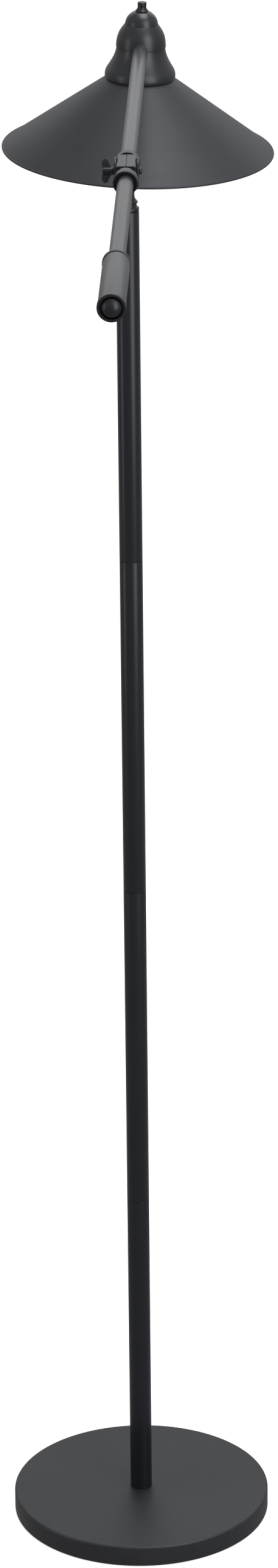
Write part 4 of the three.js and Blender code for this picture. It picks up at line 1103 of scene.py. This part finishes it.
def black_phenolic():
    phenolic = Finish("black_phenolic")
    flow = phenolic.cloud(0.008, detail=4.0, stretch=(1, 1, 3))
    speck = phenolic.cloud(0.0007, detail=2.0)
    tone = 0.6 * flow + 0.4 * speck
    colour = phenolic.between(tone, (0.010, 0.009, 0.008), (0.026, 0.023, 0.020))
    return phenolic.surface(
        Base_Color=colour, Roughness=0.22 + 0.18 * flow, Normal=phenolic.bump(speck, 0.00005, 0.4)
    )


def brass():
    metal = Finish("holder_brass")
    tarnish = metal.cloud(0.006, detail=4.0)
    colour = metal.between(tarnish, (0.80, 0.60, 0.28), (0.56, 0.38, 0.16))
    return metal.surface(
        Base_Color=colour, Metallic=1.0, Roughness=0.24 + 0.25 * tarnish,
        Normal=metal.bump(tarnish, 0.00004, 0.4),
    )


phenolic = black_phenolic()
thread = rolled_thread()
NUT_ACROSS = 15
NUT_ROOM = 0.7
BRACKET_SHEET = 1.5
HOLDER_ROOF = 4.7
HOLDER_FOOT = 75
HOLDER_RADIUS = 20.2
HOLDER_BORE = 14.6
FLANGE_RADIUS = 24
CROWN_RADIUS = 17.2
SCREW_HOLE = 2.1
NUT_PITCH = 2.0
NUT_THREAD = 0.8
bracket_floor = arm_join - NUT_ACROSS / math.sqrt(3) - NUT_ROOM - BRACKET_SHEET
holder_top = bracket_floor - GAP
holder_ceiling = holder_top - HOLDER_ROOF
shoulder = CONE_HEIGHT + GAP
holder = lathed([
    (HOLDER_BORE, HOLDER_FOOT, 0.4), (HOLDER_RADIUS, HOLDER_FOOT, 0.4),
    *rungs(HOLDER_RADIUS, HOLDER_FOOT + 0.6, shoulder - 0.2), (HOLDER_RADIUS, shoulder),
    (FLANGE_RADIUS, shoulder, 0.4), (FLANGE_RADIUS, shoulder + 3, 0.8),
    (HOLDER_RADIUS, shoulder + 5, 0.8), (HOLDER_RADIUS - 1, holder_top - 2, 1.2),
    (CROWN_RADIUS, holder_top, 1), (SCREW_HOLE, holder_top, 0.3),
    (SCREW_HOLE, holder_ceiling, 0.2), (HOLDER_BORE, holder_ceiling, 0.5),
], 128)
holder = thread.grown(
    holder, Pitch=NUT_PITCH, Depth=NUT_THREAD, From=HOLDER_FOOT + 1, To=shoulder - 1.5,
    Finish=phenolic,
)
piece("lampholder_moulded", holder, shade_place, phenolic, "arm", "lampholder")

RING_NUT_RADIUS = 28
RING_NUT_TALL = 6.5
RIB_COUNT = 36
RIB_PROUD = 0.8
ring_nut_top = cone_ceiling - GAP
ring_nut_foot = ring_nut_top - RING_NUT_TALL
grip_radius = RING_NUT_RADIUS - RIB_PROUD
ribs = rib_ring().grown(
    bpy.data.meshes.new("ribs"), Count=RIB_COUNT, Radius=grip_radius, Thickness=0.75, Tall=5.0,
    Finish=phenolic,
)
ribs.transform(Matrix.Translation((0, 0, ring_nut_top - RING_NUT_TALL / 2)))
ring_nut = lathed([
    (HOLDER_HOLE, ring_nut_foot, 0.4), (grip_radius, ring_nut_foot, 0.6),
    (grip_radius, ring_nut_top, 0.6), (HOLDER_HOLE, ring_nut_top, 0.4),
], 144)
ring_nut = carved(ring_nut, ("UNION", ribs))
piece("ring_nut_ribbed", ring_nut, shade_place, phenolic, "arm", "shade_ring")

SHELL_RADIUS = 14.3
SHELL_SHEET = 0.35
SHELL_LENGTH = 26
SCREW_PITCH = 3.6
SCREW_DEPTH = 0.7
shell_top = holder_ceiling - GAP
shell_foot = shell_top - SHELL_LENGTH
shell_skin = rungs(SHELL_RADIUS, shell_foot, shell_top)
shell_lining = rungs(SHELL_RADIUS - SHELL_SHEET, shell_foot, shell_top)[::-1]
brass_finish = brass()
screw_shell = thread.grown(
    turned([*shell_skin, *shell_lining], 128), Pitch=SCREW_PITCH, Depth=SCREW_DEPTH,
    From=shell_foot + 0.6, To=shell_top - 0.6, Finish=brass_finish,
)
piece("screw_shell_rolled", screw_shell, shade_place, brass_finish, "arm", "holder_shell")
refinish(brass_finish, "centre_contact")
refinish(zinc, "holder_bracket", "bracket_screw", "switch_nut")
refinish(phenolic, "switch_body")


# Bulb: a frosted white globe that narrows to an aluminium cap with a rolled screw thread and a
# button on its end.
def cap_aluminium():
    metal = Finish("bulb_cap_aluminium")
    scuff = metal.cloud(0.003, detail=4.0)
    rub = metal.cloud(0.0008, stretch=(6, 6, 1))
    colour = metal.between(scuff, (0.72, 0.72, 0.73), (0.52, 0.52, 0.53))
    return metal.surface(
        Base_Color=colour, Metallic=1.0, Roughness=0.26 + 0.16 * scuff + 0.08 * rub,
        Normal=metal.bump(rub, 0.00003, 0.4),
    )


def frosted_glass():
    glass = Finish("frosted_glass")
    frost = glass.cloud(0.0009, detail=3.0)
    drift = glass.cloud(0.02)
    colour = glass.between(drift, (0.80, 0.80, 0.79), (0.87, 0.87, 0.85))
    return glass.surface(
        Base_Color=colour, Roughness=0.28 + 0.14 * frost, Normal=glass.bump(frost, 0.00003, 0.3),
        Coat_Roughness=0.1, Coat_Weight=0.2 + 0.1 * drift,
    )


CAP_RADIUS = 13.2
CAP_HEIGHT = 28.2
BUTTON_RADIUS = 4.8
CONTACT_ROOM = 1.8
bulb_top = holder_ceiling - CONTACT_ROOM
cap_foot = bulb_top - CAP_HEIGHT
aluminium = cap_aluminium()
bulb_cap = lathed([
    (0, cap_foot), (CAP_RADIUS, cap_foot, 0.2), *rungs(CAP_RADIUS, cap_foot + 1, cap_foot + 23),
    (CAP_RADIUS, cap_foot + 24, 0.8), (BUTTON_RADIUS + 1, bulb_top - 1, 0.3),
    (BUTTON_RADIUS, bulb_top, 0.5), (0, bulb_top),
], 128)
bulb_cap = thread.grown(
    bulb_cap, Pitch=SCREW_PITCH, Depth=SCREW_DEPTH, From=cap_foot + 3.4, To=cap_foot + 22.4,
    Finish=aluminium,
)
piece("bulb_cap_rolled", bulb_cap, shade_place, aluminium, "arm", "bulb_cap")

GLOBE_RADIUS = 30
GLASS_LENGTH = 77.7
GLASS_WALL = 1
neck = cap_foot - GAP
neck_edge = (CAP_RADIUS - 0.2, neck)
globe_middle = neck - GLASS_LENGTH + GLOBE_RADIUS
globe = outline_arc((0, globe_middle), GLOBE_RADIUS, -90, 20, 36)
swept = bezier(
    globe[-1], (GLOBE_RADIUS * 0.82, globe_middle + GLOBE_RADIUS * 0.7),
    (CAP_RADIUS + 0.6, globe_middle + GLOBE_RADIUS), neck_edge, 20,
)
glass_line = [*globe[:-1], *swept, neck_edge]
glass_inside = [(max(x, 0), y) for x, y in beside(glass_line, GLASS_WALL)[::-1]]
# Both lines end level at the neck, and on the axis at the bottom.
glass_inside[0] = (glass_inside[0][0], neck)
glass_line[0] = (0, glass_line[0][1])
glass_inside[-1] = (0, glass_inside[-1][1])
bulb = turned([*glass_line, *glass_inside], 128)
piece("bulb_globe_blown", bulb, shade_place, frosted_glass(), "arm", "bulb_glass")
